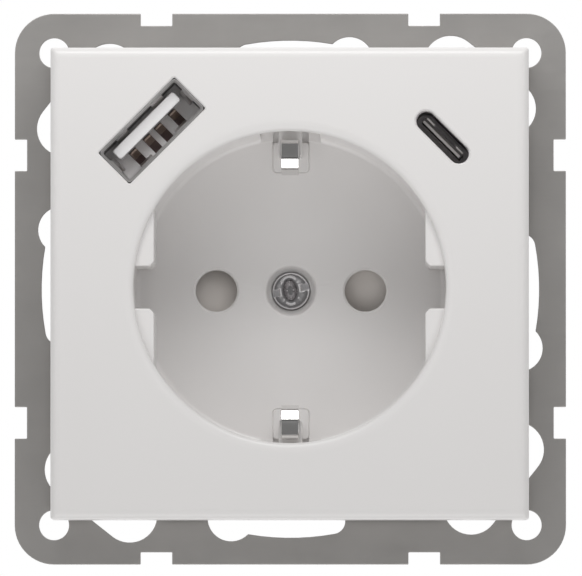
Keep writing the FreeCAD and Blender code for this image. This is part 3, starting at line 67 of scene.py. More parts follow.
# Cover and well
FRONT = cover_low.y
COVER_WIDTH = cover_high.x - cover_low.x
COVER_HEIGHT = cover_high.z - cover_low.z
COVER_RISE = (cover_high.z + cover_low.z) / 2
SKIRT_BACK = FRONT + 8.7
COVER_WALL = 2.0
SKIRT_WALL = 1.6
COVER_EDGE = (1.35, 0.9)
WELL_RADIUS = 19.75
WELL_WALL = 1.5
WELL_LIP = (1.5, 0.75)
WELL_FOOT = 0.7
FLOOR = FRONT + 17.5
FLOOR_BACK = FLOOR + 1.6
BOSS_RADIUS = 3.6
BOSS_BACK = cover_high.y
PIN_PLACE = 9.5
PIN_HOLE_RADIUS = 2.65
GROOVE_TOP = 20.4
GROOVE_START = 1.6
GROOVE_WIDTH = 7.6
CLIP_SLOT_WIDTH = 4.5

# Screw in the middle
SCREW_TOP = FLOOR + 0.9
SCREW_HEAD_RADIUS = 2.4
SCREW_SHANK_RADIUS = 1.5
DRIVE_PLACE = (-0.1, 0.1)
SLOT_TURN = 12.0
RECESS_TURN = 8.0

# Earth clips: distances from the axis of the well, and depths from the front
PEDESTAL_LOW = 15.06
CLIP_WAY_OUT = 18.75
CLIP_CREST_OUT = 16.36
CLIP_CREST_DEPTH = 3.84
CLIP_FACET_SLOPE = 0.55
CLIP_OUT = 0.22
LOWER_CLIP_OUT = 0.35
CLIP_PRESSED = 0.75

# Ports: place and turn in degrees, and the width, height and corner of each window
PORT_A = (-17.42, 19.76, 45.0)
PORT_C = (19.35, 18.92, -45.0)
WINDOW_A = (13.6, 5.6, 0.25)
WINDOW_C = (8.45, 2.6, 1.3)
A_MOUTH = FRONT + 0.15
A_SHELL_WIDTH = 13.5
A_SHELL_HEIGHT = 5.5
A_SHEET = 0.35
A_FOOT_DEPTH = 6.5


# Shader trees and finishes

class Value:
    """One number of a finish, with Python's signs for its sums."""

    def __init__(self, tree, socket):
        self.tree = tree
        self.socket = socket

    def sum_with(self, operation, *others, clamp=False):
        node = self.tree.node(
            "ShaderNodeMath", {"operation": operation, "use_clamp": clamp}, others
        )
        return Value(self.tree, node.outputs[0])

    def __add__(self, other):
        return self.sum_with("ADD", self, other)

    def __radd__(self, other):
        return self.sum_with("ADD", other, self)

    def __sub__(self, other):
        return self.sum_with("SUBTRACT", self, other)

    def __rsub__(self, other):
        return self.sum_with("SUBTRACT", other, self)

    def __mul__(self, other):
        return self.sum_with("MULTIPLY", self, other)

    def __rmul__(self, other):
        return self.sum_with("MULTIPLY", other, self)

    def above(self, low, high):
        """0 below low, 1 above high, and even in between."""
        spread = (self - low) * (1 / (high - low))
        return spread.sum_with("ADD", spread, 0.0, clamp=True)


class ShaderTree:
    """A node tree, and the one way in which nodes are added to it."""

    def __init__(self, tree):
        self.tree = tree
        tree.nodes.clear()

    def node(self, kind, settings=(), sockets=()):
        """Adds a node: its settings first, then its sockets by name or in order."""
        made = self.tree.nodes.new(kind)
        for setting, value in dict(settings).items():
            if setting == "stops":
                self.set_stops(made.color_ramp, value)
            else:
                setattr(made, setting, value)
        pairs = sockets.items() if isinstance(sockets, dict) else enumerate(sockets)
        for key, value in pairs:
            self.plug(made.inputs[key], value)
        return made

    def set_stops(self, ramp, stops):
        while len(ramp.elements) < len(stops):
            ramp.elements.new(1.0)
        for element, (place, colour) in zip(ramp.elements, stops):
            element.position = place
            element.color = (*colour, 1.0)

    def plug(self, socket, value):
        if isinstance(value, Value):
            self.tree.links.new(value.socket, socket)
        elif isinstance(value, bpy.types.NodeSocket):
            self.tree.links.new(value, socket)
        elif isinstance(value, tuple) and len(value) == 3 and socket.type == "RGBA":
            socket.default_value = (*value, 1.0)
        else:
            socket.default_value = value


class Finish(ShaderTree):
    """A procedural surface built on one Principled shader."""

    def __init__(self, name, slot, roughness=0.5, metallic=0.0, **settings):
        self.material = bpy.data.materials.new(name)
        self.material.use_nodes = True
        super().__init__(self.material.node_tree)
        self.slot = slot
        self.shader = self.node("ShaderNodeBsdfPrincipled")
        self.node("ShaderNodeOutputMaterial", {}, (self.shader.outputs[0],))
        self.set("Roughness", roughness)
        self.set("Metallic", metallic)
        for socket, value in settings.items():
            self.set(socket.replace("_", " "), value)
        self.places = self.node("ShaderNodeTexCoord").outputs["Object"]

    def set(self, socket, value):
        self.plug(self.shader.inputs[socket], value)

    def noise(self, scale, detail=2.0, roughness=0.5, stretch=None):
        """Noise with scale features for each millimetre."""
        places = self.places
        if stretch:
            mapping = self.node(
                "ShaderNodeMapping", {}, {"Vector": places, "Scale": stretch}
            )
            places = mapping.outputs[0]
        made = self.node("ShaderNodeTexNoise", {}, {
            "Vector": places,
            "Scale": scale / MM,
            "Detail": detail,
            "Roughness": roughness,
        })
        return Value(self, made.outputs["Fac"])

    def mix(self, factor, first, second):
        made = self.node(
            "ShaderNodeMix", {"data_type": "RGBA"}, {0: factor, 6: first, 7: second}
        )
        return made.outputs[2]

    def bump(self, height, depth, normal=None):
        """A relief whose full height is depth millimetres."""
        sockets = {"Height": height, "Distance": depth * MM, "Strength": 1.0}
        if normal is not None:
            sockets["Normal"] = normal
        made = self.node("ShaderNodeBump", {}, sockets)
        self.set("Normal", made.outputs[0])
        return made.outputs[0]


def tint(colour, factor):
    return tuple(channel * factor for channel in colour)


def moulded_plastic(name, slot, colour, roughness, grain=0.006, shift=0.04, scale=3.0):
    """Injection moulded plastic: faint cloudiness, fine grain and handling marks."""
    finish = Finish(name, slot, IOR=1.49)
    cloud = finish.noise(0.03, detail=3.0)
    finish.set("Base Color", finish.mix(cloud, tint(colour, 1 - shift), tint(colour, 1 + shift)))
    grain_height = finish.noise(scale, detail=3.0, roughness=0.6)
    smears = finish.noise(0.12, detail=4.0, roughness=0.65, stretch=(1.0, 1.0, 0.35))
    finish.set("Roughness", roughness - 0.05 + smears * 0.07 + grain_height * 0.03)
    finish.bump(grain_height, grain)
    return finish


def rolled_metal(name, slot, colour, roughness, streak=(0.06, 1.0, 1.0), dulling=0.10, depth=0.004):
    """Sheet metal with rolling marks along x and cloudy dulling."""
    finish = Finish(name, slot, metallic=1.0)
    marks = finish.noise(2.2, detail=4.0, roughness=0.65, stretch=streak)
    clouds = finish.noise(0.09, detail=4.0, roughness=0.6)
    blotch = clouds.above(0.35, 0.7)
    shade = finish.mix(blotch, tint(colour, 1 - dulling), tint(colour, 1 + dulling * 0.5))
    finish.set("Base Color", shade)
    finish.set("Roughness", roughness - 0.06 + marks * 0.10 + clouds * 0.05)
    finish.bump(marks, depth)
    return finish


finishes = {}


def keep(finish):
    """Makes a finish the one of its material slot."""
    finishes[finish.slot] = finish


keep(moulded_plastic("satin_white", "cover_white", (0.83, 0.813, 0.803), 0.30, 0.002, 0.008))
keep(rolled_metal("dull_sheet_steel", "plate_steel", (0.47, 0.455, 0.44), 0.5, dulling=0.05))
keep(rolled_metal("bright_nickel", "zinc_plate", (0.56, 0.55, 0.545), 0.20, (1, 1, 1), 0.05, 0.002))
keep(rolled_metal("port_nickel", "port_metal", (0.60, 0.585, 0.56), 0.30, (1, 1, 0.1), 0.06, 0.002))
keep(moulded_plastic("black_moulding", "black_plastic", (0.012, 0.012, 0.013), 0.38))
keep(moulded_plastic("dark_grey_moulding", "dark_grey_plastic", (0.05, 0.052, 0.056), 0.48, 0.012))
keep(moulded_plastic("light_grey_moulding", "light_grey_plastic", (0.68, 0.67, 0.66), 0.42, 0.006))
keep(moulded_plastic("orange_moulding", "orange_plastic", (0.60, 0.16, 0.02), 0.42, 0.006))
keep(rolled_metal(
    "contact_brass", "contact_brass", (0.72, 0.50, 0.22), 0.30, (1, 1, 0.1), 0.12, 0.003
))
keep(rolled_metal(
    "spring_strip", "spring_steel", (0.55, 0.55, 0.56), 0.28, (1, 0.1, 1), 0.08, 0.002
))
keep(moulded_plastic("board_resist", "board_green", (0.012, 0.075, 0.035), 0.34, 0.004, 0.12, 0.8))
keep(moulded_plastic("sintered_ferrite", "ferrite", (0.035, 0.034, 0.036), 0.7, 0.02, 0.12, 5.0))
keep(moulded_plastic("wound_tape", "winding_tape", (0.62, 0.42, 0.04), 0.32, 0.01, 0.1, 1.2))
keep(moulded_plastic("can_sleeve", "can_sleeve", (0.01, 0.013, 0.035), 0.25, 0.002, 0.1))
keep(moulded_plastic("fired_ceramic", "fuse_ceramic", (0.66, 0.62, 0.52), 0.6, 0.01, 0.06, 4.0))

# Finishes for single pieces, in the slots of their nodes.
# Contact brass darkened and dulled as painted shade, for the blades deep inside the A port.
painted_shade_blade_finish = rolled_metal(
    "painted_shade_blade", "contact_brass", (0.50, 0.40, 0.34), 0.4, (1, 1, 0.1), 0.3, 0.002
)
shell_finish = rolled_metal(
    "bright_shell", "port_metal", (0.80, 0.775, 0.765), 0.30, (1, 1, 0.1), 0.4, 0.006
)
dark_shell_finish = rolled_metal(
    "dark_shell", "port_metal", (0.88, 0.85, 0.86), 0.4, (1, 1, 0.1), 0.25, 0.003
)
screw_finish = rolled_metal(
    "dark_plated_screw", "zinc_plate", (0.58, 0.565, 0.57), 0.17, (1, 1, 1), 0.15, 0.003
)
clip_finish = rolled_metal(
    "bright_clip", "zinc_plate", (0.80, 0.79, 0.78), 0.18, (1, 1, 0.2), 0.04, 0.002
)
strip_finish = rolled_metal(
    "worn_strip", "port_metal", (0.75, 0.72, 0.70), 0.4, (1, 1, 0.1), 0.3, 0.003
)
white_insert_finish = moulded_plastic(
    "white_insert", "light_grey_plastic", (0.84, 0.83, 0.83), 0.36, 0.004, 0.03
)
grey_insert_finish = moulded_plastic(
    "grey_insert", "black_plastic", (0.09, 0.085, 0.085), 0.4, 0.004, 0.1
)
# Brown-grey for the pad behind the A port's blade slots: painted shade that darkens the slots where
# shadow falls.
brown_painted_shade_pad_finish = moulded_plastic(
    "brown_painted_shade_pad", "black_plastic", (0.34, 0.25, 0.235), 0.45, 0.004, 0.1
)
base_finish = moulded_plastic(
    "base_moulding", "light_grey_plastic", (0.80, 0.785, 0.775), 0.42, 0.006, 0.03
)
shutter_finish = moulded_plastic(
    "shutter_moulding", "light_grey_plastic", (0.80, 0.755, 0.715), 0.36, 0.004, 0.03
)


# Shapes

def new_object(name, shape):
    """A shown piece from a bmesh whose corners are in millimetres."""
    bmesh.ops.recalc_face_normals(shape, faces=shape.faces)
    shape.transform(Matrix.Scale(MM, 4))
    mesh = bpy.data.meshes.new(name)
    shape.to_mesh(mesh)
    shape.free()
    made = bpy.data.objects.new(name, mesh)
    bpy.context.scene.collection.objects.link(made)
    return made


def loft(name, loops):
    """A closed skin through (depth, outline) loops with as many points each."""
    shape = bmesh.new()
    rings = [
        [shape.verts.new((x, depth, z)) for x, z in outline] for depth, outline in loops
    ]
    for near, far in zip(rings, rings[1:]):
        count = len(near)
        for i in range(count):
            j = (i + 1) % count
            shape.faces.new((near[i], near[j], far[j], far[i]))
    shape.faces.new(rings[0])
    shape.faces.new(rings[-1])
    return new_object(name, shape)


def prism(name, outline, front, back):
    return loft(name, [(front, outline), (back, outline)])


def turned(name, profile, centre=(0, 0), steps=160):
    """A closed skin turned about an axis along y: (radius, depth) from axis to axis."""
    shape = bmesh.new()
    rings = []
    for radius, depth in profile:
        if radius < 1e-6:
            rings.append([shape.verts.new((centre[0], depth, centre[1]))])
            continue
        ring = []
        for i in range(steps):
            angle = 2 * math.pi * i / steps
            x = centre[0] + radius * math.cos(angle)
            z = centre[1] + radius * math.sin(angle)
            ring.append(shape.verts.new((x, depth, z)))
        rings.append(ring)
    for near, far in zip(rings, rings[1:]):
        for i in range(steps):
            j = (i + 1) % steps
            corners = [near[i % len(near)], near[j % len(near)]]
            corners += [far[j % len(far)], far[i % len(far)]]
            shape.faces.new(list(dict.fromkeys(corners)))
    return new_object(name, shape)


def arc_points(centre, radius, start, end, steps=8):
    """Points on an arc in degrees, both ends included."""
    return [
        (
            centre[0] + radius * math.cos(math.radians(start + (end - start) * i / steps)),
            centre[1] + radius * math.sin(math.radians(start + (end - start) * i / steps)),
        )
        for i in range(steps + 1)
    ]


def rounded_rectangle(width, height, corner, steps=6):
    half_x, half_z = width / 2 - corner, height / 2 - corner
    points = []
    for index, (sign_x, sign_z) in enumerate([(1, 1), (-1, 1), (-1, -1), (1, -1)]):
        centre = (sign_x * half_x, sign_z * half_z)
        points += arc_points(centre, corner, 90 * index, 90 * index + 90, steps)
    return points


def placed(outline, port):
    """An outline moved to a port and turned with it."""
    x, z, turn = port
    cos, sin = math.cos(math.radians(turn)), math.sin(math.radians(turn))
    return [(x + u * cos - v * sin, z + u * sin + v * cos) for u, v in outline]


def apply_modifier(target, kind, **settings):
    modifier = target.modifiers.new(kind.lower(), kind)
    for setting, value in settings.items():
        setattr(modifier, setting, value)
    with bpy.context.temp_override(object=target, active_object=target):
        bpy.ops.object.modifier_apply(modifier=modifier.name)


def combine(target, others, operation):
    for other in others:
        apply_modifier(target, "BOOLEAN", operation=operation, object=other, solver="EXACT")
        bpy.data.objects.remove(other)


def cut(target, *cutters):
    combine(target, cutters, "DIFFERENCE")


def add(target, *extras):
    combine(target, extras, "UNION")


def smooth(target, angle=32.0):
    """Smooth shading that keeps the creases sharp and the flats flat."""
    target.data.shade_smooth()
    target.data.set_sharp_from_angle(angle=math.radians(angle))
    apply_modifier(target, "WEIGHTED_NORMAL", keep_sharp=True, weight=100)


def dress(target, finish):
    target.data.materials.clear()
    target.data.materials.append(finish.material)


def finish_piece(target, finish, body, *replaced, angle=32.0):
    """Smooths and dresses a piece; its finish is a slot's name, or one made for it alone."""
    smooth(target, angle)
    dress(target, finishes[finish] if isinstance(finish, str) else finish)
    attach(target, body)
    if replaced:
        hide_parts(*replaced)


# Pieces

def rounded_edge(across, deep, steps=10):
    """(inset, depth) pairs down an elliptical edge, from the front face to the side."""
    turns = [math.radians(90 * step / steps) for step in range(steps + 1)]
    return [(across * (1 - math.sin(turn)), deep * (1 - math.cos(turn))) for turn in turns]


def outer_moulding():
    """The cover's face and skirt, with the tube of the well and the boss still solid."""
    loops = []
    for inset, depth in rounded_edge(*COVER_EDGE):
        outline = rounded_rectangle(COVER_WIDTH - 2 * inset, COVER_HEIGHT - 2 * inset, 0.35, 5)
        loops.append((FRONT + depth, [(x, z + COVER_RISE) for x, z in outline]))
    loops.append((SKIRT_BACK, loops[-1][1]))
    cover = loft("cover_moulding", loops)
    hollow = rounded_rectangle(COVER_WIDTH - 2 * SKIRT_WALL, COVER_HEIGHT - 2 * SKIRT_WALL, 0.5)
    hollow = [(x, z + COVER_RISE) for x, z in hollow]
    cut(cover, prism("hollow", hollow, FRONT + COVER_WALL, SKIRT_BACK + 1))
    outer = WELL_RADIUS + WELL_WALL
    tube = turned("tube", [
        (0, FRONT + 1), (outer, FRONT + 1), (outer, FLOOR_BACK - 0.4),
        (outer - 0.4, FLOOR_BACK), (0, FLOOR_BACK),
    ])
    boss = [(0, FLOOR), (BOSS_RADIUS, FLOOR), (BOSS_RADIUS, BOSS_BACK), (0, BOSS_BACK)]
    boss = turned("boss", boss, steps=64)
    add(cover, tube, boss)
    return cover


def cut_well(cover):
    """The round well, with a soft lip at the face and a small fillet at its foot."""
    profile = [(0, FRONT - 2), (WELL_RADIUS + WELL_LIP[0], FRONT - 2)]
    for inset, depth in rounded_edge(*WELL_LIP):
        profile.append((WELL_RADIUS + inset, FRONT - 0.002 + depth))
    profile += arc_points((WELL_RADIUS - WELL_FOOT, FLOOR - WELL_FOOT), WELL_FOOT, 0, 90, 6)
    profile.append((0, FLOOR))
    cut(cover, turned("well", profile, steps=192))


def cut_clip_place(cover, side):
    """The groove down the wall and the slot with eased edges in the floor, for one clip."""
    middle = (PEDESTAL_LOW + GROOVE_TOP) / 2
    high = GROOVE_TOP - PEDESTAL_LOW
    groove = rounded_rectangle(GROOVE_WIDTH, 3.4, 0.4)
    groove = placed(groove, (0, side * (GROOVE_TOP - 1.7), 0))
    cut(cover, prism("groove", groove, FRONT + GROOVE_START, FLOOR - 0.05))
    place = (0, side * middle, 0)
    slot, eased, tight = [
        placed(rounded_rectangle(CLIP_SLOT_WIDTH + wider, high + higher, corner), place)
        for wider, higher, corner in [(0.0, 0.0, 0.5), (0.4, 0.2, 0.7), (-0.1, -0.3, 0.45)]
    ]
    cut(cover, prism("clip_slot", slot, FLOOR - 1, FLOOR_BACK + 1))
    cut(cover, loft("slot_edge", [(FLOOR - 0.01, eased), (FLOOR + 0.25, tight)]))


def cut_pin_hole(cover, side):
    """One pin hole, with a small chamfer at the floor."""
    hole = [(0, FLOOR - 0.3), (2.95, FLOOR - 0.3), (2.9, FLOOR)]
    hole += [(PIN_HOLE_RADIUS, FLOOR + 0.25), (PIN_HOLE_RADIUS, FLOOR_BACK + 1)]
    hole.append((0, FLOOR_BACK + 1))
    cut(cover, turned("pin_hole", hole, (side * PIN_PLACE, 0), 64))


def cut_screw_recess(cover):
    """A soft-edged recess round the screw, and the hole for its shank."""
    recess = [(0, FLOOR - 1), (3.45, FLOOR - 1), (3.45, FLOOR - 0.01)]
    recess += [(3.34, FLOOR + 0.05), (3.2, FLOOR + 0.18), (3.08, FLOOR + 0.42), (2.98, FLOOR + 0.8)]
    recess += [(2.86, FLOOR + 1.2), (2.66, FLOOR + 1.45), (2.5, FLOOR + 1.5), (2.5, FLOOR + 2.8)]
    recess += [(1.6, FLOOR + 2.8), (1.6, BOSS_BACK + 1), (0, BOSS_BACK + 1)]
    cut(cover, turned("screw_recess", recess, steps=96))


def cut_window(cover, port, width, height, corner):
    """The window of a port, with a small chamfer at the face."""
    loops = []
    for depth, margin in [(-0.5, 0.2), (-0.001, 0.2), (0.2, 0.0), (COVER_WALL + 1, 0.0)]:
        outline = rounded_rectangle(
            width + 2 * margin, height + 2 * margin, corner + margin - 0.001, 12
        )
        loops.append((FRONT + depth, placed(outline, port)))
    cut(cover, loft("window", loops))


def make_cover():
    """The white cover with its well, as one moulding."""
    cover = outer_moulding()
    cut_well(cover)
    add(cover, *[rib(x, z) for x, z in [(1, 1), (-1, 1), (-1, -1), (1, -1)]])
    for side in (1, -1):
        cut_clip_place(cover, side)
        cut_pin_hole(cover, side)
    cut_screw_recess(cover)
    cut_window(cover, PORT_A, *WINDOW_A)
    cut_window(cover, PORT_C, *WINDOW_C)
    finish_piece(cover, "cover_white", "socket", "cover_plate")


def rib(side_x, side_z):
    """One of the four ribs beside the grooves, sunk into the wall and the floor."""
    flat, level, chamfer, bite = 17.15, 2.7, 0.55, 20.3
    outline = [(flat, level + chamfer), (flat + chamfer, level)]
    start = math.degrees(math.asin(level / bite))
    end = math.degrees(math.acos(flat / bite))
    outline += arc_points((0, 0), bite, start, end, 12)
    outline = [(side_x * x, side_z * z) for x, z in outline]
    made = prism("rib", outline, FRONT + 1.3, FLOOR + 0.8)
    apply_modifier(made, "BEVEL", width=0.3 * MM, segments=3, limit_method="ANGLE")
    return made


def joined(first, *others):
    """Puts several bodies into one piece."""
    shape = bmesh.new()
    for part in (first, *others):
        shape.from_mesh(part.data)
    shape.to_mesh(first.data)
    shape.free()
    for other in others:
        bpy.data.objects.remove(other)
    return first


def copied(node):
    """A new object from the mesh of a construction piece, its flat faces joined up."""
    shape = bmesh.new()
    shape.from_mesh(nodes[node].data)
    bmesh.ops.remove_doubles(shape, verts=shape.verts, dist=1e-6)
    bmesh.ops.dissolve_limit(
        shape, angle_limit=math.radians(0.5), verts=shape.verts, edges=shape.edges
    )
    mesh = bpy.data.meshes.new(node + "_finished")
    shape.to_mesh(mesh)
    shape.free()
    made = bpy.data.objects.new(node + "_finished", mesh)
    bpy.context.scene.collection.objects.link(made)
    return made


def break_edges(target, width, angle=30.0, segments=2):
    apply_modifier(
        target, "BEVEL", width=width * MM, segments=segments, limit_method="ANGLE",
        angle_limit=math.radians(angle), use_clamp_overlap=True, miter_outer="MITER_ARC",
    )


def soften(node, finish, body, width, angle=30.0):
    """A copy of a construction piece with its sharp edges broken."""
    made = copied(node)
    break_edges(made, width, angle)
    finish_piece(made, finish, body, node)


def at_screw_top(profile):
    """(radius, depth) pairs with their depths taken from the screw's top."""
    return [(radius, SCREW_TOP + depth) for radius, depth in profile]


def cut_slot(screw):
    """The slot across the head, with eased edges."""
    place = (*DRIVE_PLACE, SLOT_TURN)
    walls = [(-1.0, 1.26), (-0.001, 1.26), (0.07, 0.92), (0.75, 0.86)]
    cut(screw, loft("screw_slot", [
        (SCREW_TOP + depth, placed(rounded_rectangle(6.0, wide, 0.02, 1), place))
        for depth, wide in walls
    ]))


def shape_recess(screw):
    """The raised oval collar in the slot, the hollow in it and the two studs in the hollow."""
    place = (*DRIVE_PLACE, RECESS_TURN)

    def ovals(name, sections):
        turns = [math.pi * i / 36 for i in range(72)]
        return loft(name, [
            (SCREW_TOP + depth, placed([(w * math.cos(t), h * math.sin(t)) for t in turns], place))
            for depth, w, h in sections
        ])

    add(screw, ovals("recess_collar", [
        (1.0, 1.42, 1.92), (0.04, 1.42, 1.92), (-0.08, 1.1, 1.58), (-0.08, 1.04, 1.52),
    ]))
    cut(screw, ovals("cross_recess", [
        (-0.3, 1.0, 1.48), (-0.02, 0.94, 1.42), (1.1, 0.78, 1.2), (1.5, 0.35, 0.6),
    ]))
    profile = at_screw_top([(0, 0.55), (0.1, 0.6), (0.24, 1.6), (0, 1.6)])
    add(screw, *[
        turned("recess_stud", profile, placed([(u, 0.0)], place)[0], 12) for u in (-0.42, 0.42)
    ])


def make_cover_screw():
    """A flat head with a slot, an oval recess and four ticks, and a plain shank."""
    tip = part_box("cover_screw")[1].y / MM
    radius, shank, seat = SCREW_HEAD_RADIUS, SCREW_SHANK_RADIUS, FLOOR + 2.78
    profile = at_screw_top([
        (0, 0.0), (1.0, 0.01), (1.74, 0.04), (1.8, 0.2), (2.06, 0.22), (2.14, 0.04),
        (2.18, 0.01), (2.32, 0.06), (radius, 0.3),
    ])
    profile += [(radius, seat), (shank, seat), (shank, tip - 0.75), (shank / 2, tip), (0, tip)]
    screw = turned("cover_screw_head", profile, steps=96)
    cut_slot(screw)
    shape_recess(screw)
    ticks = []
    for turn in (50, 132, 230, 318):
        tick = placed([(1.45, -0.07), (2.0, -0.14), (2.0, 0.14), (1.45, 0.07)], (0, 0, turn))
        ticks.append(prism("tick", tick, SCREW_TOP - 0.5, SCREW_TOP + 0.16))
    cut(screw, *ticks)
    break_edges(screw, 0.05, 35)
    finish_piece(screw, screw_finish, "socket", "cover_screw")


def leaf(port, place, side, wide, front, back, out):
    """A spring leaf of the shell, pressed inwards from the wall that it belongs to."""
    u, v = place
    shape = bmesh.new()
    sections = []
    steps = 8
    for i in range(steps + 1):
        share = i / steps
        depth = front + (back - front) * share
        lift = out * math.sin(math.pi * share) ** 0.8 if 0 < share < 1 else 0.0
        corners = []
        for across, rise in [(-0.5, 0), (0.5, 0), (0.5, 0.16), (-0.5, 0.16)]:
            w, h = across * wide, lift + rise
            if side in ("top", "bottom"):
                point = (u + w, v - h if side == "top" else v + h)
            else:
                point = (u - h if side == "right" else u + h, v + w)
            x, z = placed([point], port)[0]
            corners.append(shape.verts.new((x, depth, z)))
        sections.append(corners)
    for near, far in zip(sections, sections[1:]):
        for i in range(4):
            j = (i + 1) % 4
            shape.faces.new((near[i], near[j], far[j], far[i]))
    shape.faces.new(sections[0])
    shape.faces.new(sections[-1])
    return new_object("leaf", shape)


def make_a_shell(back):
    """The folded shell of the A port with its six spring leaves."""
    wide, high = A_SHELL_WIDTH, A_SHELL_HEIGHT
    loops = []
    for depth, inset in [(0.0, 0.12), (0.03, 0.03), (0.12, 0.0)]:
        outline = rounded_rectangle(wide - 2 * inset, high - 2 * inset, 0.5 - inset, 5)
        loops.append((A_MOUTH + depth, placed(outline, PORT_A)))
    loops.append((back, loops[-1][1]))
    shell = loft("usb_a_shell_folded", loops)
    inner = placed(rounded_rectangle(wide - 2 * A_SHEET, high - 2 * A_SHEET, 0.3, 5), PORT_A)
    cut(shell, prism("shell_inside", inner, A_MOUTH - 1, back - A_SHEET))
    half_u, half_v = wide / 2 - A_SHEET, high / 2 - A_SHEET
    long_leaf = (1.9, A_MOUTH + 1.0, A_MOUTH + 6.5, 0.4)
    side_leaf = (2.0, A_MOUTH + 0.9, A_MOUTH + 6.0, 0.5)
    leaves = []
    for u in (-3.1, 3.1):
        leaves.append(leaf(PORT_A, (u, half_v), "top", *long_leaf))
        leaves.append(leaf(PORT_A, (u, -half_v), "bottom", *long_leaf))
    leaves.append(leaf(PORT_A, (half_u, 0), "right", *side_leaf))
    leaves.append(leaf(PORT_A, (-half_u, 0), "left", *side_leaf))
    finish_piece(joined(shell, *leaves), shell_finish, "socket", "usb_a_shell")


def make_a_tongue(front, end):
    """The white tongue, its foot with four blade slots, and a pad behind them whose brown is
    painted shade.
    """
    outline = [(u, v + 1.0) for u, v in rounded_rectangle(10.8, 1.5, 0.35, 5)]
    tongue = prism("usb_a_tongue_moulding", placed(outline, PORT_A), front, end)
    apply_modifier(
        tongue, "BEVEL", width=0.18 * MM, segments=3, limit_method="ANGLE",
        angle_limit=math.radians(50),
    )
    foot = placed(rounded_rectangle(12.6, 4.6, 0.2, 3), PORT_A)
    foot = prism("tongue_foot", foot, end - A_FOOT_DEPTH, end - 0.6)
    slots = []
    for u in (-3.5, -1.0, 1.0, 3.5):
        notch = [(u + du, v) for du, v in [(-0.6, -2.2), (0.6, -2.2), (0.6, 0.24), (-0.6, 0.24)]]
        slots.append(prism("blade_slot", placed(notch, PORT_A), end - 7, end + 1))
    cut(foot, *slots)
    # A pad behind the blade slots, coloured brown as painted shade for the dark depths of the
    # slots.
    pad = placed(rounded_rectangle(12.4, 4.4, 0.3), PORT_A)
    pad = prism("usb_a_painted_shade_pad", pad, end - 4.6, end - 4.2)
    finish_piece(pad, brown_painted_shade_pad_finish, "socket")
    finish_piece(joined(tongue, foot), white_insert_finish, "socket", "usb_a_tongue")


def make_usb_a():
    """Shell, tongue and blades of the A port."""
    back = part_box("usb_a_shell")[1].y / MM
    make_a_shell(back)
    make_a_tongue(A_MOUTH + 1.3, back - A_SHEET - 0.02)
    # The contact blades take the brass darkened as painted shade.
    soften("usb_a_contacts", painted_shade_blade_finish, "socket", 0.04)


def make_usb_c():
    """The dark shell and tongue of the C port, with its contact strips and guard pads."""
    soften("usb_c_shell", dark_shell_finish, "socket", 0.05)
    soften("usb_c_tongue", grey_insert_finish, "socket", 0.06)
    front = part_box("usb_c_tongue")[0].y / MM
    strips = []
    for u, v, wide, tall in [
        (0.0, -0.2, 6.4, 0.32), (-2.5, 0.4, 1.3, 0.22), (2.6, 0.42, 1.2, 0.22),
    ]:
        outline = [(u + du, v + dv) for du, dv in rounded_rectangle(wide, tall, 0.03, 2)]
        strips.append(prism("strip", placed(outline, PORT_C), front - 0.03, front + 4.0))
    strips = joined(*strips)
    strips.name = "usb_c_contact_strips"
    finish_piece(strips, strip_finish, "socket")


def make_earth_strap():
    """The strap with flat heads on its clips, each with one facet down to its nose."""
    strap = copied("earth_strap")
    shape = bmesh.new()
    shape.from_mesh(strap.data)
    for vert in shape.verts:
        depth, out = vert.co.y / MM - FRONT, abs(vert.co.z) / MM
        if depth > 14 or out < 13:
            continue
        side, extra = (1, 0.0) if vert.co.z > 0 else (-1, LOWER_CLIP_OUT)
        near_crest = 15.7 < out < 16.8 and depth < 4.7
        shift = CLIP_OUT - near_crest * (0.08 + 0.35 * max(0.0, out - 15.9))
        vert.co.z += side * (shift + extra) * MM
        if 14.8 < out < 16.8 and depth < 4.7:
            fall = CLIP_FACET_SLOPE * max(0.0, CLIP_CREST_OUT - out - shift)
            vert.co.y = (FRONT + CLIP_CREST_DEPTH + fall) * MM
        else:
            behind = min(1.0, max(0.0, (out - 16.4) / 1.9))
            near = min(1.0, max(0.0, (6.6 - depth) / 1.2))
            vert.co.y -= CLIP_PRESSED * behind * near * MM
    shape.to_mesh(strap.data)
    shape.free()
    break_edges(strap, 0.05, 40)
    finish_piece(strap, clip_finish, "socket", "earth_strap", angle=20.0)


def make_base():
    """The base with a pedestal in each clip slot and a guide round the clip's arm."""
    base = copied("socket_base")
    break_edges(base, 0.12)
    extras = []

    def block(side, half, low, high, front, back, corner, edge):
        outline = rounded_rectangle(2 * half, high - low, corner)
        outline = [(x, side * (z + (high + low) / 2)) for x, z in outline]
        made = prism("pedestal", outline, front, back)
        break_edges(made, edge, 50, 3)
        return made

    for side in (1, -1):
        extras.append(block(side, 2.26, PEDESTAL_LOW, 18.95, FLOOR + 0.05, FLOOR + 3.0, 0.45, 0.16))
        extras.append(block(side, 2.26, 18.0, GROOVE_TOP, FLOOR + 0.5, FLOOR + 3.0, 0.1, 0.08))
        guide = block(side, 1.45, 16.75, GROOVE_TOP, FRONT + 6.2, FLOOR + 2.0, 0.2, 0.08)
        far = side * (CLIP_WAY_OUT + LOWER_CLIP_OUT * (side < 0))
        way = [(-1.14, side * 16.0), (1.14, side * 16.0), (1.14, far), (-1.14, far)]
        cut(guide, prism("arm_way", way, FRONT + 5.0, FLOOR + 0.4))
        extras.append(guide)
    finish_piece(joined(base, *extras), base_finish, "socket", "socket_base")


def make_rear_housing():
    """The housing with broken edges and shallow ejector marks in its flat back."""
    housing = copied("rear_housing")
    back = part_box("rear_housing")[1].y / MM
    marks = []
    for x, z in [(-11, 11), (11, 11), (0, 17.5), (-17.5, -5), (17.5, -5), (0, 3.5)]:
        marks.append(turned("ejector_mark", [
            (0, back - 0.12), (1.9, back - 0.12), (2.0, back + 0.5), (0, back + 0.5),
        ], (x, z), 48))
    cut(housing, *marks)
    break_edges(housing, 0.15)
    finish_piece(housing, "dark_grey_plastic", "socket", "rear_housing")


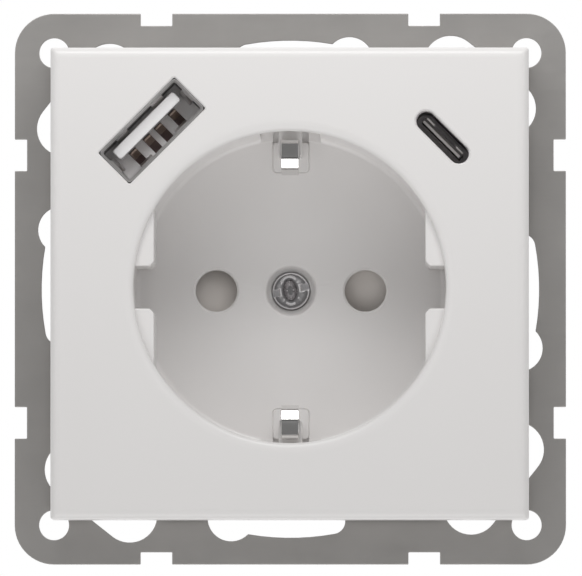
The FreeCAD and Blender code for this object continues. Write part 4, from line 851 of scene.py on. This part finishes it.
def make_hidden_pieces():
    """Broken edges for what shows only from the side, from behind or through an opening."""
    soften("usb_carrier", "dark_grey_plastic", "socket", 0.15)
    soften("housing_screws", "zinc_plate", "socket", 0.1)
    for side in ("left", "right", "earth"):
        soften(side + "_release_button", "orange_plastic", side + "_button", 0.12)


def make_plate():
    """The pierced plate, with the edges that the shears leave broken."""
    soften("support_plate", "plate_steel", "socket", 0.1)


def dress_nodes():
    """Gives every carried-over construction piece its finish."""
    own = {"shutter": shutter_finish}
    for entry in frame["record"]["subparts"]:
        node = nodes[entry["node"]]
        finish = own.get(entry["node"], finishes[entry["material_slot"]])
        node.data.materials.clear()
        node.data.materials.append(finish.material)


# Stage, light and camera

def make_floor():
    """A pale floor below the socket that shows as white and throws no light on it."""
    glow = {"Emission_Color": (1.0, 1.0, 1.0), "Emission_Strength": 0.3}
    pale = Finish("pale_floor", None, roughness=0.9, **glow)
    dust = pale.noise(0.02, detail=3.0)
    pale.set("Base Color", pale.mix(dust, (0.882, 0.882, 0.882), (0.9, 0.9, 0.9)))
    shape = bmesh.new()
    bmesh.ops.create_grid(shape, x_segments=1, y_segments=1, size=1500)
    floor = new_object("floor", shape)
    floor.location.z = cad_low.z - 0.06
    floor.data.materials.append(pale.material)
    floor.visible_diffuse = False
    floor.visible_glossy = False
    floor.visible_shadow = False


def area_light(name, place, size, power):
    """A lamp that points at the middle of the object."""
    data = bpy.data.lights.new(name, "AREA")
    data.shape = "RECTANGLE"
    data.size, data.size_y = size
    data.energy = power
    light = bpy.data.objects.new(name, data)
    bpy.context.scene.collection.objects.link(light)
    light.location = place
    light.rotation_euler = (-Vector(place)).to_track_quat("-Z", "Y").to_euler()
    light.visible_camera = False


def make_lights():
    """Two soft lamps for the ends of the well's floor, and a strip near the top edge."""
    area_light("upper_softbox", (-0.01, -0.12, 0.2), (0.16, 0.05), 0.06)
    area_light("lower_softbox", (-0.02, -0.49, -0.755), (0.9, 0.3), 2.9)
    area_light("top_strip", (0, -0.10, 0.13), (0.16, 0.03), 0.095)


def make_room():
    """A pale room, dark on the camera's side, so that metal that faces the camera is dark."""
    world = bpy.data.worlds.new("pale_room")
    bpy.context.scene.world = world
    world.use_nodes = True
    room = ShaderTree(world.node_tree)

    def glow(strength):
        sockets = {"Color": (1.0, 1.0, 1.0), "Strength": strength}
        return room.node("ShaderNodeBackground", {}, sockets).outputs[0]

    def choose(factor, first, second):
        return room.node("ShaderNodeMixShader", {}, (factor, first, second)).outputs[0]

    way = room.node("ShaderNodeTexCoord").outputs["Generated"]
    parts = room.node("ShaderNodeSeparateXYZ", {}, (way,))
    into_wall = Value(room, parts.outputs["Y"])
    up = Value(room, parts.outputs["Z"])
    high = choose(up.above(0.5, 0.85), glow(0.25), glow(0.42))
    sides = choose((0 - up).above(0.5, 0.85), high, glow(0.30))
    ring = choose((0 - into_wall).above(0.6, 0.75), sides, glow(0.80))
    front = choose((0 - into_wall).above(0.88, 0.93), ring, glow(0.18))
    around = choose(into_wall.above(0.0, 0.3), front, glow(1.0))
    # The camera sees white all round, and metal sees it on all sides but the camera's own.
    path = room.node("ShaderNodeLightPath").outputs
    mirrored = Value(room, path["Is Glossy Ray"]) * into_wall.above(-0.1, 0.1)
    seen = Value(room, path["Is Camera Ray"]) + Value(room, path["Is Transmission Ray"]) + mirrored
    room.node("ShaderNodeOutputWorld", {}, (choose(seen, around, glow(1.0)),))


def make_camera():
    """A very long lens, slightly below and right of the middle, as in the photograph."""
    width_px, mm_per_px = 582, 0.1264
    distance, azimuth, elevation = 2.0, 0.55, -1.7
    data = bpy.data.cameras.new("camera")
    camera = bpy.data.objects.new("camera", data)
    bpy.context.scene.collection.objects.link(camera)
    bpy.context.scene.camera = camera
    data.lens = data.sensor_width * distance / (width_px * mm_per_px * MM)
    data.clip_end = 20
    a, e = math.radians(azimuth), math.radians(elevation)
    back = Vector((math.sin(a) * math.cos(e), -math.cos(a) * math.cos(e), math.sin(e)))
    target = Vector((0.18, FRONT, -0.16)) * MM
    camera.location = target + back * distance
    camera.rotation_mode = "QUATERNION"
    camera.rotation_quaternion = (-back).to_track_quat("-Z", "Y")


make_camera()
make_lights()
make_room()
make_floor()
dress_nodes()
make_cover()
make_cover_screw()
make_usb_a()
make_usb_c()
make_plate()
make_earth_strap()
make_base()
make_rear_housing()
make_hidden_pieces()

bpy.context.scene.view_settings.view_transform = "Standard"
